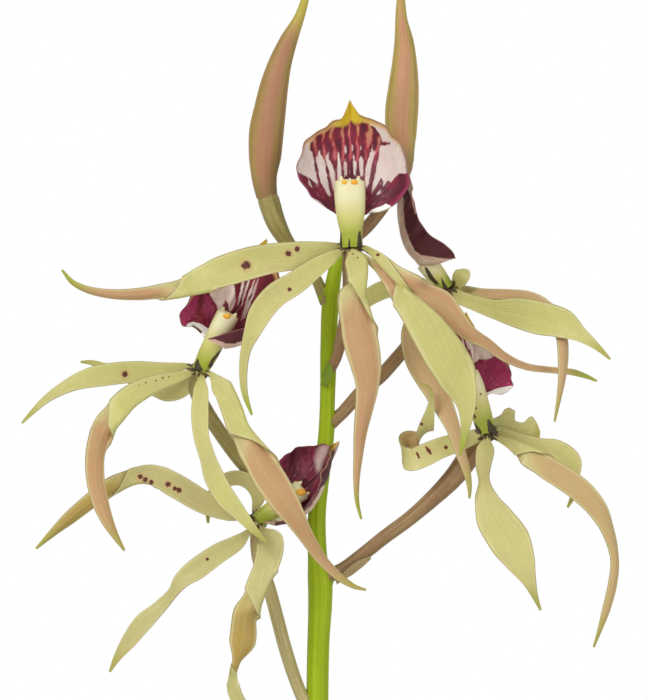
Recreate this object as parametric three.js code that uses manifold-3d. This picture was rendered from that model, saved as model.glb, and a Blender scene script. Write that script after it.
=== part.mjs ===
import * as THREE from "three";
import { mergeVertices } from "three/addons/utils/BufferGeometryUtils.js";
import Module from "manifold-3d";

// A potted cockleshell orchid: a clay pot of bark, a rhizome with three pseudobulbs and their
// leaves, and one upright flower stem with five open flowers and two buds.
// Millimetres, +Z up, origin at the middle of the pot's flat underside. The flowers face -Y.

const wasm = await Module();
wasm.setup();

// Pot
const POT_HEIGHT = 115;
const POT_RIM_RADIUS = 65;
const POT_BASE_RADIUS = 43;
const POT_WALL = 5;
const POT_FLOOR = 7;
const RIM_BAND = 20;
const RIM_STEP = 3;
const DRAIN_HOLES = 4;
const DRAIN_RADIUS = 5;
const DRAIN_RING = 24;
const GAP = 0.35;

// Bark, rhizome and pseudobulbs
const BARK_TOP = 102;
const RHIZOME_RADIUS = 3.5;
const RHIZOME_Z = BARK_TOP + RHIZOME_RADIUS + 0.6;
const BULB_BASE = RHIZOME_Z + RHIZOME_RADIUS + GAP;

// Thickness of the soft parts
const LEAF_THICKNESS = 1.6;
const TEPAL_THICKNESS = 0.9;
const LIP_THICKNESS = 0.8;

// The most that a blade may turn between two neighbouring rings, in degrees
const TURN_PER_RING = 24;

const TERRACOTTA = 0xb5714a;
const BARK = 0x6b4a32;
const RHIZOME_BROWN = 0x8a7a4e;
const BULB_GREEN = 0x7f9a45;
const LEAF_GREEN = 0x4f7d2c;
const STEM_GREEN = 0x87a51e;
const SHEATH_TAN = 0xb9a678;
const PEDICEL_BROWN = 0x785f4b;
const PEDICEL_OLIVE = 0x827d4b;
const BUD_OLIVE = 0xa59a52;
const TEPAL_GREEN = 0xcdd48c;
const TEPAL_TAN = 0xcdb68a;
const LIP_MAROON = 0x6e1e3c;
const COLUMN_CREAM = 0xe2e2a0;

const VIEWER = new THREE.Vector3(0, -1, 0);

const orchid = new THREE.Group();

function place(name, geometry, color, roughness) {
  const material = new THREE.MeshStandardMaterial({ color, roughness, metalness: 0 });
  const mesh = new THREE.Mesh(geometry, material);
  mesh.name = name;
  orchid.add(mesh);
}

// Direction of the path at station i, from its neighbours.
function headingAt(points, i) {
  const before = points[Math.max(i - 1, 0)];
  const after = points[Math.min(i + 1, points.length - 1)];
  return after.clone().sub(before).normalize();
}

// Where the inner face of a blade looks: turned by so many degrees from the viewer about the
// path, or along a direction given outright.
function faceDirection(turn, heading) {
  if (Array.isArray(turn)) {
    return new THREE.Vector3(...turn);
  }
  const towards = VIEWER.clone().addScaledVector(heading, -VIEWER.dot(heading)).normalize();
  return towards.applyAxisAngle(heading, THREE.MathUtils.degToRad(turn));
}

// Closed solid with one ring of points per station. Each ring holds a centre, the direction and
// half length across, and the direction and half length through.
function loft(rings, sides) {
  const solid = new THREE.CylinderGeometry(1, 1, 1, sides, rings.length - 1);
  const position = solid.getAttribute("position");
  const point = new THREE.Vector3();
  for (let i = 0; i < position.count; i++) {
    const ring = rings[Math.round((0.5 - position.getY(i)) * (rings.length - 1))];
    point.copy(ring.centre);
    point.addScaledVector(ring.across, position.getX(i) * ring.halfAcross);
    point.addScaledVector(ring.through, position.getZ(i) * ring.halfThrough);
    position.setXYZ(i, point.x, point.y, point.z);
  }
  solid.computeVertexNormals();
  return solid;
}

// Long thin blade through stations of x, y, z, width and turn. Rings are added where it twists.
function blade(stations, thickness) {
  const points = stations.map((s) => new THREE.Vector3(s[0], s[1], s[2]));
  const path = new THREE.CatmullRomCurve3(points);
  const faces = stations.map((s, i) => faceDirection(s[4], headingAt(points, i)));
  const centres = [];
  const looks = [];
  const widths = [];
  for (let i = 0; i < stations.length; i++) {
    const last = i === stations.length - 1;
    const twist = last ? 0 : THREE.MathUtils.radToDeg(faces[i].angleTo(faces[i + 1]));
    const steps = Math.max(1, Math.ceil(twist / TURN_PER_RING));
    for (let k = 0; k < (last ? 1 : steps); k++) {
      const share = k / steps;
      centres.push(path.getPoint((i + share) / (stations.length - 1)));
      looks.push(last ? faces[i] : faces[i].clone().lerp(faces[i + 1], share).normalize());
      widths.push(last ? stations[i][3] : THREE.MathUtils.lerp(stations[i][3], stations[i + 1][3], share));
    }
  }
  const rings = centres.map((centre, i) => {
    const heading = headingAt(centres, i);
    const through = looks[i].clone().addScaledVector(heading, -looks[i].dot(heading)).normalize();
    const across = through.clone().cross(heading);
    const halfAcross = widths[i] / 2 / Math.sin(Math.PI / 3);
    const halfThrough = Math.min(thickness / 2, 0.16 + widths[i] / 6);
    return { centre, across, through, halfAcross, halfThrough };
  });
  return loft(rings, 6);
}

// Round rod through stations of x, y, z and diameter; a fifth number is its depth front to back.
function rod(stations, sides = 8) {
  const points = stations.map((s) => new THREE.Vector3(s[0], s[1], s[2]));
  const rings = stations.map((s, i) => {
    const heading = headingAt(points, i);
    const through = faceDirection(0, heading);
    const across = through.clone().cross(heading);
    return { centre: points[i], across, through, halfAcross: s[3] / 2, halfThrough: (s[4] ?? s[3]) / 2 };
  });
  return loft(rings, sides);
}

// The shell of a lip: a thin sheet that runs from the throat beside the column, by way of the
// belly, out to the rim. All three are followed from the left base past the apex to the right base.
function shell({ throat, belly, rim }, across = 14, out = 6) {
  const curves = [throat, belly, rim].map(
    (line) => new THREE.CatmullRomCurve3(line.map((p) => new THREE.Vector3(...p))),
  );
  const sheetPoint = (u, v) => {
    const [a, b, c] = curves.map((curve) => curve.getPoint(THREE.MathUtils.clamp(u, 0, 1)));
    return new THREE.QuadraticBezierCurve3(a, b, c).getPoint(v);
  };
  const sheet = new THREE.BoxGeometry(1, 1, 1, across, out, 1);
  const position = sheet.getAttribute("position");
  for (let i = 0; i < position.count; i++) {
    const u = position.getX(i) + 0.5;
    const v = position.getY(i) + 0.5;
    const alongRim = sheetPoint(u + 0.01, v).sub(sheetPoint(u - 0.01, v));
    const outwards = sheetPoint(u, v + 0.01).sub(sheetPoint(u, v - 0.01));
    const normal = alongRim.cross(outwards).normalize();
    const point = sheetPoint(u, v).addScaledVector(normal, position.getZ(i) * LIP_THICKNESS);
    position.setXYZ(i, point.x, point.y, point.z);
  }
  sheet.computeVertexNormals();
  return sheet;
}

// A geometry as a solid that can be joined or cut, and back again.
function solidOf(geometry) {
  const bare = geometry.clone();
  bare.deleteAttribute("normal");
  bare.deleteAttribute("uv");
  const merged = mergeVertices(bare, 1e-3);
  return new wasm.Manifold(
    new wasm.Mesh({
      numProp: 3,
      vertProperties: merged.getAttribute("position").array,
      triVerts: new Uint32Array(merged.index.array),
    }),
  );
}

function geometryOf(solid) {
  const mesh = solid.getMesh();
  const geometry = new THREE.BufferGeometry();
  geometry.setAttribute("position", new THREE.BufferAttribute(mesh.vertProperties, 3));
  geometry.setIndex(new THREE.BufferAttribute(mesh.triVerts, 1));
  geometry.computeVertexNormals();
  return geometry;
}

// Solid of revolution about +Z from radius and height pairs that start and end on the axis.
function turned(profile, segments) {
  const lathe = new THREE.LatheGeometry(profile.map(([r, z]) => new THREE.Vector2(r, z)), segments);
  return lathe.rotateX(Math.PI / 2);
}

// Inside radius of the pot at height z.
function potInside(z) {
  return THREE.MathUtils.mapLinear(z, 0, POT_HEIGHT, POT_BASE_RADIUS, POT_RIM_RADIUS - RIM_STEP) - POT_WALL;
}

// Clay pot, open at the top, with drain holes round the middle of its floor
function pot() {
  const bandBottom = POT_HEIGHT - RIM_BAND;
  const bandRadius = potInside(bandBottom) + POT_WALL;
  const body = solidOf(
    turned(
      [
        [0, 0],
        [POT_BASE_RADIUS - 2, 0],
        [POT_BASE_RADIUS, 2],
        [bandRadius, bandBottom],
        [bandRadius + RIM_STEP, bandBottom + 1],
        [POT_RIM_RADIUS, POT_HEIGHT - 2],
        [POT_RIM_RADIUS - 2, POT_HEIGHT],
        [potInside(POT_HEIGHT) + 1, POT_HEIGHT],
        [potInside(POT_HEIGHT), POT_HEIGHT - 2],
        [potInside(POT_FLOOR), POT_FLOOR],
        [0, POT_FLOOR],
      ],
      40,
    ),
  );
  let holed = body;
  for (let i = 0; i < DRAIN_HOLES; i++) {
    const angle = ((i + 0.5) / DRAIN_HOLES) * 2 * Math.PI;
    const hole = new THREE.CylinderGeometry(DRAIN_RADIUS, DRAIN_RADIUS, 3 * POT_FLOOR, 16);
    hole.rotateX(Math.PI / 2);
    hole.translate(DRAIN_RING * Math.cos(angle), DRAIN_RING * Math.sin(angle), POT_FLOOR / 2);
    holed = holed.subtract(solidOf(hole));
  }
  return geometryOf(holed);
}

place("pot", pot(), TERRACOTTA, 0.85);

const barkFloor = POT_FLOOR + GAP;
const barkShoulder = BARK_TOP - 3;
const barkProfile = [
  [0, barkFloor],
  [potInside(barkFloor) - GAP, barkFloor],
  [potInside(barkShoulder) - GAP, barkShoulder],
  [potInside(barkShoulder) - 3, BARK_TOP],
  [0, BARK_TOP],
];
place("potting_bark", turned(barkProfile, 40), BARK, 0.95);

// Rhizome lying on the bark, from the oldest pseudobulb to the newest, with its roots.
const rhizomePath = [[-40, -24], [-36, -16], [-32, -4], [-25, 8], [-12, 6], [0, 0], [9, -4]];
const rhizomeRod = rod(
  rhizomePath.map(([x, y], i) => [x, y, RHIZOME_Z, i % 6 === 0 ? 3 : 2 * RHIZOME_RADIUS]),
);
const ROOTS = [
  [[2, -2, RHIZOME_Z, 3], [10, -14, RHIZOME_Z + 1, 3], [20, -26, 104.6, 2.8], [32, -32, 104.4, 2.2]],
  [[-2, 1, RHIZOME_Z, 3], [6, 14, RHIZOME_Z + 1, 3], [18, 26, 104.6, 2.8], [22, 40, 104.4, 2.2]],
  [[-20, 7, RHIZOME_Z, 3], [-14, 20, RHIZOME_Z + 1, 3], [-16, 34, 104.6, 2.8], [-8, 46, 104.4, 2.2]],
  [[-33, -8, RHIZOME_Z, 3], [-20, -18, RHIZOME_Z + 1, 3], [-10, -30, 104.6, 2.8], [-12, -44, 104.4, 2.2]],
];
const rhizome = ROOTS.reduce((joined, root) => joined.add(solidOf(rod(root, 6))), solidOf(rhizomeRod));
place("rhizome", geometryOf(rhizome), RHIZOME_BROWN, 0.8);

// Pseudobulbs: x, y, height, widest diameter
const BULBS = [
  ["pseudobulb_new", 0, 0, 92, 25],
  ["pseudobulb_middle", -25, 8, 82, 24],
  ["pseudobulb_old", -36, -16, 70, 22],
];
for (const [name, x, y, height, width] of BULBS) {
  const shape = [[0, 0.3], [0.08, 0.62], [0.25, 0.94], [0.42, 1], [0.62, 0.84], [0.82, 0.52], [1, 0.34]];
  const bulb = rod(shape.map(([up, wide]) => [x, y, BULB_BASE + up * height, wide * width, wide * width * 0.8]), 12);
  place(name, bulb, BULB_GREEN, 0.5);
}

// Strap leaves: each midrib as x, y, z and width, with the upper face looking up
const UP = [0, 0, 1];
const LEAVES = {
  leaf_new_left: [
    [-5.6, 1, 203.5, 7], [-10, 3, 220, 15], [-18, 5, 238, 24], [-32, 8, 260, 32], [-52, 13, 278, 36],
    [-76, 18, 288, 34], [-98, 23, 286, 26], [-112, 27, 278, 14], [-120, 29, 271, 3],
  ],
  leaf_new_right: [
    [5.6, -2, 203.5, 7], [10, -4, 218, 15], [19, -7, 236, 25], [34, -12, 256, 33], [54, -19, 272, 36],
    [77, -27, 279, 33], [98, -34, 274, 25], [111, -38, 264, 14], [118, -41, 256, 3],
  ],
  leaf_middle_left: [
    [-28.5, 13, 194, 7], [-33, 20, 208, 15], [-41, 31, 224, 25], [-54, 47, 238, 32], [-70, 66, 245, 32],
    [-86, 86, 242, 24], [-97, 99, 234, 13], [-103, 107, 227, 3],
  ],
  leaf_middle_right: [
    [-20.5, 12, 194, 7], [-16, 20, 210, 15], [-8, 33, 228, 25], [5, 51, 245, 33], [21, 72, 254, 32],
    [37, 92, 251, 24], [47, 106, 243, 13], [53, 114, 236, 3],
  ],
  leaf_old: [
    [-37, -20, 181.5, 7], [-42, -27, 194, 15], [-50, -39, 208, 24], [-62, -56, 220, 30], [-76, -76, 224, 28],
    [-88, -94, 218, 20], [-95, -105, 210, 11], [-99, -111, 204, 3],
  ],
};
for (const [name, midrib] of Object.entries(LEAVES)) {
  place(name, blade(midrib.map((s) => [...s, UP]), LEAF_THICKNESS), LEAF_GREEN, 0.45);
}

// Flower stem, from the top of the newest pseudobulb to behind the top flower
const STEM = [
  [0, 0, 203.5, 5.4], [0.3, 0, 250, 5.2], [0.1, 0, 300, 5], [0.1, 0, 330, 4.8], [0.3, 0, 342, 4.8],
  [0.7, 0, 351, 5.2], [0.7, 0, 356, 5.4], [0.1, 0, 362, 4.2], [0, 0, 371, 3.9], [1, 0, 380, 3.7],
  [2, 0, 388, 3.5], [2.3, 0, 396, 3.3], [2.6, 0, 408, 3.7], [2.9, 0, 417, 3.7], [3.9, 0, 424, 3.1],
  [4.8, 0, 428, 2.6],
];
place("flower_stem", rod(STEM, 10), STEM_GREEN, 0.45);

const sheath = turned(
  [[3.3, 206], [4.6, 206], [4.4, 222], [3.9, 238], [3.3, 238], [3.3, 206]],
  16,
);
place("stem_sheath", sheath, SHEATH_TAN, 0.7);

// Flower stalks: x, y, z and diameter from the stem to the ovary
const STALKS = {
  flower_a_pedicel: [
    [4.2, -3.2, 405, 2.2], [5, -4.4, 408, 2.6], [6.2, -6.6, 413, 3], [7.4, -9.4, 421, 3.6],
    [7.6, -11.2, 425.6, 4.2], [7.6, -12, 427.8, 3.8],
  ],
  flower_b_pedicel: [
    [5.4, 0.8, 393, 2.8], [10, 3, 398, 3], [14, 5, 401.2, 3], [17, 6.5, 404.5, 3], [19.6, 8, 407.5, 3],
    [24, 9.4, 413, 3.2], [28.2, 10, 418.2, 3],
  ],
  flower_c_pedicel: [
    [-4, 1.2, 368, 2.8], [-8, 1, 373, 3], [-12.5, -1.4, 378, 3.1], [-17, -4.4, 383, 3.2],
    [-21, -6.6, 388.5, 3.2], [-24.5, -8.2, 394, 3.2], [-26.6, -9.2, 398.5, 3.2], [-26.5, -9.8, 400.8, 3],
  ],
  flower_d_pedicel: [
    [-4.2, -1, 333, 2.8], [-7, -2.5, 341.5, 2.9], [-8.7, -4, 348, 2.9], [-10.6, -5.5, 355, 2.9],
    [-12.7, -7, 361, 3], [-13.2, -7.8, 365.6, 3], [-13.1, -8, 367.4, 2.8],
  ],
  flower_e_pedicel: [
    [5.8, -0.5, 359, 2.8], [10, -1, 362, 3], [15, -2, 366, 3.1], [20, -3, 369.7, 3.2], [25, -4, 374, 3.6],
    [30, -5, 379, 4.4], [33, -5.6, 383, 4.8], [35.2, -6, 386, 4],
  ],
  bud_left_pedicel: [
    [-0.6, -0.4, 423.4, 2.4], [-3.2, -1, 426.6, 2.8], [-6.5, -2, 430.6, 3.3], [-9, -3, 435, 4.3],
    [-10.6, -3.5, 439.8, 4.7],
  ],
  bud_right_pedicel: [
    [6.8, 2.2, 430.4, 2.4], [10.5, 3.5, 433.6, 2.8], [13.4, 4.5, 437, 2.8], [16.8, 5.3, 442, 2.8],
    [19.4, 6, 446.8, 3],
  ],
};
for (const [name, stations] of Object.entries(STALKS)) {
  const olive = name.includes("_c_") || name.includes("_d_") || name.includes("bud_left");
  place(name, rod(stations), olive ? PEDICEL_OLIVE : PEDICEL_BROWN, 0.5);
}

// Buds: x, y, z, width and depth
const BUDS = {
  bud_left: [
    [-11, -3.6, 440.6, 4.6, 4.2], [-11.6, -3.8, 445, 5.6, 5], [-11.4, -4, 450, 7.2, 6.4],
    [-11.1, -4.2, 455, 7.6, 6.6], [-10.3, -4.5, 460, 7, 6.2], [-9.4, -4.8, 465, 6.2, 5.6],
    [-8.1, -5.1, 470, 5.1, 4.8], [-6.2, -5.4, 475, 3.9, 3.8], [-3.9, -5.7, 480, 2.3, 2.3],
    [-2.6, -5.9, 484, 1.7, 1.7], [-1.2, -6, 489, 0.7, 0.7],
  ],
  bud_right: [
    [19.9, 6.2, 448.2, 3, 3], [19.2, 6.3, 451, 4.8, 4.6], [18.6, 6.5, 455, 6.8, 6.2],
    [18.7, 6.8, 460, 7.3, 6.6], [19.1, 7, 465, 6.7, 6.2], [19.3, 7.2, 470, 5.6, 5.4],
    [19.2, 7.4, 475, 4.3, 4.3], [18.6, 7.6, 480, 2.7, 2.7], [18.5, 7.8, 484, 1.9, 1.9],
    [18.4, 8, 491, 0.7, 0.7],
  ],
};
for (const [name, stations] of Object.entries(BUDS)) {
  place(name, rod(stations, 10), BUD_OLIVE, 0.55);
}

// Floral bracts: the thin one below the lowest right stalk and the green one below the top stalk
const BRACTS = {
  floral_bract_e: [
    [5.6, -3, 357, 1.2, 0], [7.4, -3.2, 358.4, 1.8, 0], [9.6, -3.4, 360, 1.6, 0], [11.8, -3.6, 361.4, 0.6, 0],
  ],
  floral_bract_a: [
    [1.8, -2.7, 400, 1.2, 0], [2.2, -2.8, 401.4, 2.4, 0], [2.5, -2.9, 402.8, 2, 0], [2.7, -3, 404.4, 0.6, 0],
  ],
};
for (const [name, stations] of Object.entries(BRACTS)) {
  place(name, blade(stations, TEPAL_THICKNESS), STEM_GREEN, 0.6);
}

// Sepals and petals: stations of x, y, z, width and turn. At turn 0 the pale inner face looks at
// the viewer, at 90 the blade is edge on, and at 180 the pinkish outer face shows.
const TEPALS = {
  flower_a_left_sepal: [
    [4.9, -11.4, 429.7, 1.5, 0], [2.5, -12.6, 429.1, 3.2, 0], [0, -13.6, 428.5, 4.6, 0],
    [-5, -15.4, 427.6, 6.2, 0], [-10, -16.5, 427, 6.6, 0], [-15, -17, 425.9, 7.1, 0],
    [-20, -17, 424.3, 7, 8], [-25, -16.8, 422.4, 6.2, 28], [-29.5, -16.5, 420.7, 4.6, 62],
    [-35, -16, 419.6, 3.4, 130], [-40, -15.5, 419.1, 2.8, 135], [-45, -15, 419.2, 2.3, 140],
    [-50, -14.5, 420.1, 1.7, 140], [-53.5, -14, 421.8, 1.2, 150], [-55.8, -13.5, 424.5, 0.5, 150],
  ],
  flower_a_left_petal: [
    [5.5, -13.6, 428.6, 1.4, 0], [3.2, -15, 427.3, 2.8, 0], [0, -16.2, 425.2, 4.1, 0],
    [-5, -18, 421.5, 5.2, 0], [-9, -19, 419, 5.4, 0], [-12, -19.5, 415.5, 5.2, 5],
    [-14, -19.5, 411, 4, 20], [-15.5, -19, 406.5, 2.8, 42], [-16, -18.5, 402, 2.2, 40],
    [-15.7, -18, 397.5, 1.6, 35], [-14.2, -17.5, 392.8, 0.5, 30],
  ],
  flower_a_dorsal_sepal: [
    [7.6, -14.9, 428.7, 1.6, 0], [8.5, -16.5, 426, 5.3, 0], [8.8, -17.3, 421.8, 4.4, 62],
    [7.8, -17.8, 418.5, 6.6, 150], [8.6, -18, 413, 7.5, 175], [9.8, -18, 408, 7.6, 180],
    [10.8, -17.5, 403, 6.6, 180], [11, -17, 399, 5.1, 175], [10.4, -16.5, 394, 4.2, 155],
    [9.6, -16, 389, 3.2, 150], [9.1, -15.5, 384, 2.3, 150], [8.7, -15, 379, 1.6, 150],
    [8.8, -15, 374, 1, 150], [9.7, -15, 370, 0.5, 150],
  ],
  flower_a_right_petal: [
    [9.4, -13.9, 428.1, 1.1, 180], [11, -14.5, 426.9, 1.4, 180], [12.8, -15, 425.5, 2, 180],
    [15, -16, 423.5, 3.2, 165], [16.7, -17.6, 421, 3.6, 100], [18, -19.2, 418.8, 4.6, 40],
    [20.5, -20.5, 416, 6.2, 15], [24, -21, 411.5, 8.6, 5], [27.5, -21, 406, 9.6, 0],
    [30.5, -20.5, 401, 8.2, 0], [32.5, -20, 396, 5, 15], [32.6, -19.5, 391, 2.6, 30],
    [31.8, -19, 386.5, 1.2, 30], [31.3, -18.5, 384, 0.5, 30],
  ],
  flower_a_right_sepal: [
    [10.2, -12.4, 429.6, 1.3, 0], [12, -14.8, 428.9, 2, 0], [14, -17, 427.6, 3.1, 0],
    [18, -18.5, 424.2, 4.4, 10], [21.5, -18.5, 421.8, 5.8, 60], [24, -17.8, 420, 6.2, 115],
    [27, -17, 417.8, 6.4, 160], [30, -16.5, 415, 6.4, 175], [33.5, -15.8, 411.5, 4.3, 175],
    [37, -14.5, 408.6, 2.8, 150], [41, -12.5, 405.6, 2.2, 150], [46, -9.5, 403.4, 1.7, 150],
    [51, -7, 402.7, 1.5, 150], [56, -5.5, 402.2, 1.5, 150], [59, -5, 401.3, 1.1, 150],
    [61.5, -5, 400.2, 0.5, 150],
  ],
  flower_b_left_sepal: [
    [26.8, 8, 419.6, 1.4, 0], [24, 7, 421, 3, 0], [20, 6, 421.5, 4.1, 0], [14, 5, 420, 4.1, 0],
    [11, 4.6, 418.2, 3.6, 0], [9, 4.6, 415.8, 2.2, 0], [8.2, 4.6, 413.5, 0.6, 0],
  ],
  flower_b_dorsal_sepal: [
    [28.4, 7, 419.2, 1.4, 180], [26, 5.2, 417.8, 3, 180], [23, 2.6, 415.6, 4, 180],
    [20.8, -1, 411, 4.5, 180], [21.5, -5, 405.5, 4.8, 180], [24, -8.5, 401, 5.2, 180],
    [26.3, -11, 397.5, 5.2, 180], [28.3, -12, 393.5, 4.2, 175], [30, -12.8, 389.5, 3.2, 165],
    [31.3, -13, 385, 2.5, 160], [32.8, -13.2, 380.5, 1.8, 160], [33.4, -13.2, 377, 1.1, 160],
    [33.4, -13, 374.5, 0.5, 160],
  ],
  flower_b_left_petal: [
    [30.6, 12, 421.9, 1.4, [-0.2, -0.4, 0.9]], [31.6, 14.5, 422.6, 3.2, [-0.3, -0.6, 0.8]],
    [32.6, 18, 423.9, 4, [-0.3, -0.6, 0.8]], [33.2, 23, 425, 3.4, [-0.3, -0.4, 0.9]],
    [33.5, 28, 425, 2, [-0.3, -0.1, 1]], [33.7, 32, 424.2, 0.6, [-0.3, 0.1, 1]],
  ],
  flower_b_right_sepal: [
    [32.2, 10.8, 420.6, 1.4, 160], [36, 8.4, 419.6, 2.6, 150], [42, 5, 419.3, 2.7, 150],
    [47, 1, 418.8, 2.7, 150], [50.5, -2.4, 416.8, 2.8, 150], [52.8, -5.6, 413.5, 2.8, 155],
    [53.8, -8.4, 409.5, 2.7, 155], [54, -10.6, 406, 2.6, 155], [53.7, -12, 401, 1.9, 155],
    [52.9, -13, 396, 1.1, 155], [52, -13.5, 391.3, 0.5, 155],
  ],
  flower_b_right_petal: [
    [31.8, 8.4, 419.2, 1.3, 0], [34, 6.5, 417.4, 2.6, 0], [39, 3, 416, 4.2, 0], [44, -1.4, 415.2, 6.6, 0],
    [49, -6, 414, 7.4, 0], [54, -9.8, 412.7, 6.5, 0], [58, -11.4, 410.2, 3.2, 5], [61, -12.4, 408, 1.7, 10],
    [64.2, -13, 405, 0.5, 10],
  ],
  flower_c_left_sepal: [
    [-28.3, -9.4, 403.4, 1.4, 0], [-34, -10.5, 402.6, 3.4, 8], [-40, -11.5, 402.2, 4.7, 5],
    [-46, -12.5, 401.6, 4.9, 5], [-51, -13, 400.5, 4.2, 15], [-55.5, -13.5, 398.5, 3, 30],
    [-59, -14, 396.3, 2.1, 35], [-62, -14.5, 393.6, 1.3, 35], [-64.5, -15, 391, 0.5, 30],
  ],
  flower_c_left_petal: [
    [-27.7, -12.2, 402, 1.4, 0], [-31, -14, 401, 2.6, 0], [-36, -16, 399.5, 4.1, 0],
    [-41, -18, 396.8, 5.3, 5], [-44.5, -19.5, 393, 5.6, 42], [-46.2, -20, 391, 5.6, 88],
    [-47.2, -20.3, 388.4, 5.2, 132], [-48.3, -20.5, 384, 4.6, 155], [-48.3, -20.5, 379, 4.1, 165],
    [-47.4, -20.2, 374.5, 3.8, 165], [-45.8, -20, 370, 2.9, 160], [-44, -19.8, 366.5, 1.7, 155],
    [-42, -19.5, 363.2, 0.5, 150],
  ],
  flower_c_dorsal_sepal: [
    [-25.3, -12.9, 401, 1.4, 0], [-25.4, -14.5, 398, 3.3, 0], [-25.6, -16.5, 393, 3.8, 0],
    [-25.2, -17.5, 388, 3.5, 10], [-24, -18, 384, 3.5, 5], [-22.3, -18.3, 379, 4.5, 0],
    [-20, -18.6, 375, 4.4, 0], [-17, -18.8, 371.5, 3.2, 0], [-14, -19, 368, 1.9, 0], [-11, -19, 365, 0.5, 0],
  ],
  flower_c_right_petal: [
    [-23.2, -11.9, 401.6, 1.4, 0], [-20.8, -13.5, 398.5, 4.4, 0], [-18.7, -15.5, 394, 4.8, 38],
    [-17, -17, 389.5, 5, 82], [-14.2, -18.3, 385, 6, 140], [-10.8, -19.3, 379.5, 7.6, 168],
    [-8, -19.5, 374.5, 7.6, 175], [-5.5, -18.5, 370, 6.2, 175], [-2.5, -16.5, 365.5, 4.2, 170],
    [1, -14, 361, 3, 155], [5, -12.5, 357.3, 1.9, 150], [8.3, -12, 355.2, 1.1, 150],
    [10.8, -12, 354.5, 0.5, 150],
  ],
  flower_c_right_sepal: [
    [-28.4, -7.2, 402, 1.4, 0], [-29.4, -5.8, 399.2, 4.4, 0], [-32.4, -4, 398, 4.6, 0],
    [-36, -2.4, 398.8, 3.6, 0], [-41, -1.4, 401, 3, 0], [-46, -0.8, 403, 2, 0], [-49.5, -0.6, 404.2, 1.2, 0],
    [-52, -0.6, 404.4, 0.5, 0],
  ],
  flower_d_left_petal: [
    [-13.6, -7, 371.9, 1.4, 0], [-12.9, -6.4, 374.6, 3, 0], [-14.2, -6, 377.4, 3.3, 0],
    [-17, -6, 378.9, 3.3, 0], [-20, -6.4, 378.4, 3.2, 0], [-22.6, -7, 376, 2.4, 0],
    [-23.8, -7.5, 372.5, 1.5, 0], [-23.9, -8, 369, 0.5, 0],
  ],
  flower_d_left_sepal: [
    [-15.2, -9.2, 370.4, 1.3, 0], [-19, -10.5, 371.3, 3.6, 0], [-25, -11.5, 373.8, 5.1, 0],
    [-31, -12, 377.3, 5.4, 0], [-36, -12, 379.7, 4.5, 25], [-40, -12, 379.4, 3.8, 68],
    [-44.5, -12, 377.5, 4, 145], [-49, -12, 374.3, 3.7, 160], [-54, -12, 370.3, 3.1, 160],
    [-58, -12, 366.8, 1.8, 150], [-61.5, -12, 363.5, 0.5, 150],
  ],
  flower_d_dorsal_sepal: [
    [-14.8, -10.2, 367.4, 1.3, 0], [-17.5, -11.2, 364.8, 3.4, 0], [-21.5, -12, 362.5, 4.4, 0],
    [-26, -12.5, 359.3, 4.8, 5], [-29.5, -12.5, 356.5, 3.9, 25], [-31.5, -12.5, 353.7, 3.2, 48],
    [-34.5, -12.5, 350.5, 3.3, 30], [-38, -12, 347.3, 4.1, 10], [-41, -12, 343.5, 3.4, 5],
    [-43.8, -11.5, 339.5, 1.7, 5], [-45.4, -11, 336.5, 0.5, 5],
  ],
  flower_d_right_sepal: [
    [-12, -11, 367.6, 1.6, 0], [-10.3, -13, 365, 6, 0], [-10.7, -14, 361, 5.8, 12],
    [-12.5, -14.5, 357, 5, 35], [-14, -15, 353, 5, 66], [-15.6, -15, 349, 6, 148],
    [-16.2, -15, 343.5, 6, 168], [-17.7, -15, 338.5, 4, 132], [-18.3, -15, 336, 2.8, 92],
    [-18, -15, 332.5, 3.2, 30], [-16, -15, 328, 3, 10], [-12.5, -14.5, 320, 0.6, 10],
  ],
  flower_d_right_petal: [
    [-10.8, -4.6, 369.6, 1.4, UP], [-9.8, -1, 369.2, 2.4, UP], [-9.4, 4, 369, 3.4, UP], [-9.2, 10, 369.2, 3.8, UP],
    [-9.1, 17, 370.2, 3.2, UP], [-9, 24, 371, 2, UP], [-9, 30, 370.4, 0.6, UP],
  ],
  flower_e_left_petal: [
    [34.4, -7.8, 388.2, 1.4, 0], [31, -9, 386.8, 4.2, 0], [27, -10, 385.5, 4.6, 0], [23.4, -10.6, 383.9, 5, 0],
    [20.9, -10, 382.9, 5, [-0.5, -0.8, 0.2]], [19.4, -8.2, 383.8, 4.8, [-1, -0.2, 0]],
    [18.9, -6, 385.8, 4.4, [-1, 0.5, 0.2]], [20, -4.6, 387.4, 4, [-0.4, 1, 0.3]],
    [21.9, -4.8, 388, 3.8, [0.6, 0.8, -0.2]], [23.2, -5.8, 389.4, 3.9, [1, -0.3, -0.3]],
    [24, -6.4, 391.6, 3.4, [0.5, -1, -0.1]], [24.8, -6.8, 394.6, 2.3, [0.1, -1, 0]],
    [25.2, -7, 397, 1.3, [0, -1, 0]], [24.8, -7, 398.8, 0.8, [0, -1, 0.1]], [23.8, -7, 399.3, 0.4, [0, -1, 0.2]],
  ],
  flower_e_dorsal_sepal: [
    [37.3, -9, 387.6, 1.4, 0], [36.9, -10, 385, 4, 0], [36.6, -11, 381.5, 3.8, 30], [36.8, -11.5, 378.5, 3.6, 50],
    [37.2, -12, 374.5, 5.4, 20], [39, -12.5, 370, 8.2, 5], [42, -13, 365.5, 9, 0], [44.5, -13, 361, 6.8, 5],
    [46.3, -13, 357, 3.8, 25], [47.8, -12.5, 353, 1.6, 35], [49, -12, 350, 0.5, 30],
  ],
  flower_e_right_petal: [
    [39.5, -7.6, 387.7, 1.3, 0], [42, -8.6, 386.5, 2.1, 0], [44.2, -9.4, 385.2, 3.2, 60],
    [46.4, -9.8, 383.6, 4.6, 140], [50, -10.2, 381.4, 5, 170], [54, -10.4, 379, 5.3, 175],
    [58, -10.5, 376, 5.2, 175], [61.6, -10.3, 372, 4.4, 170], [64, -10, 367, 3.1, 150],
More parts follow.
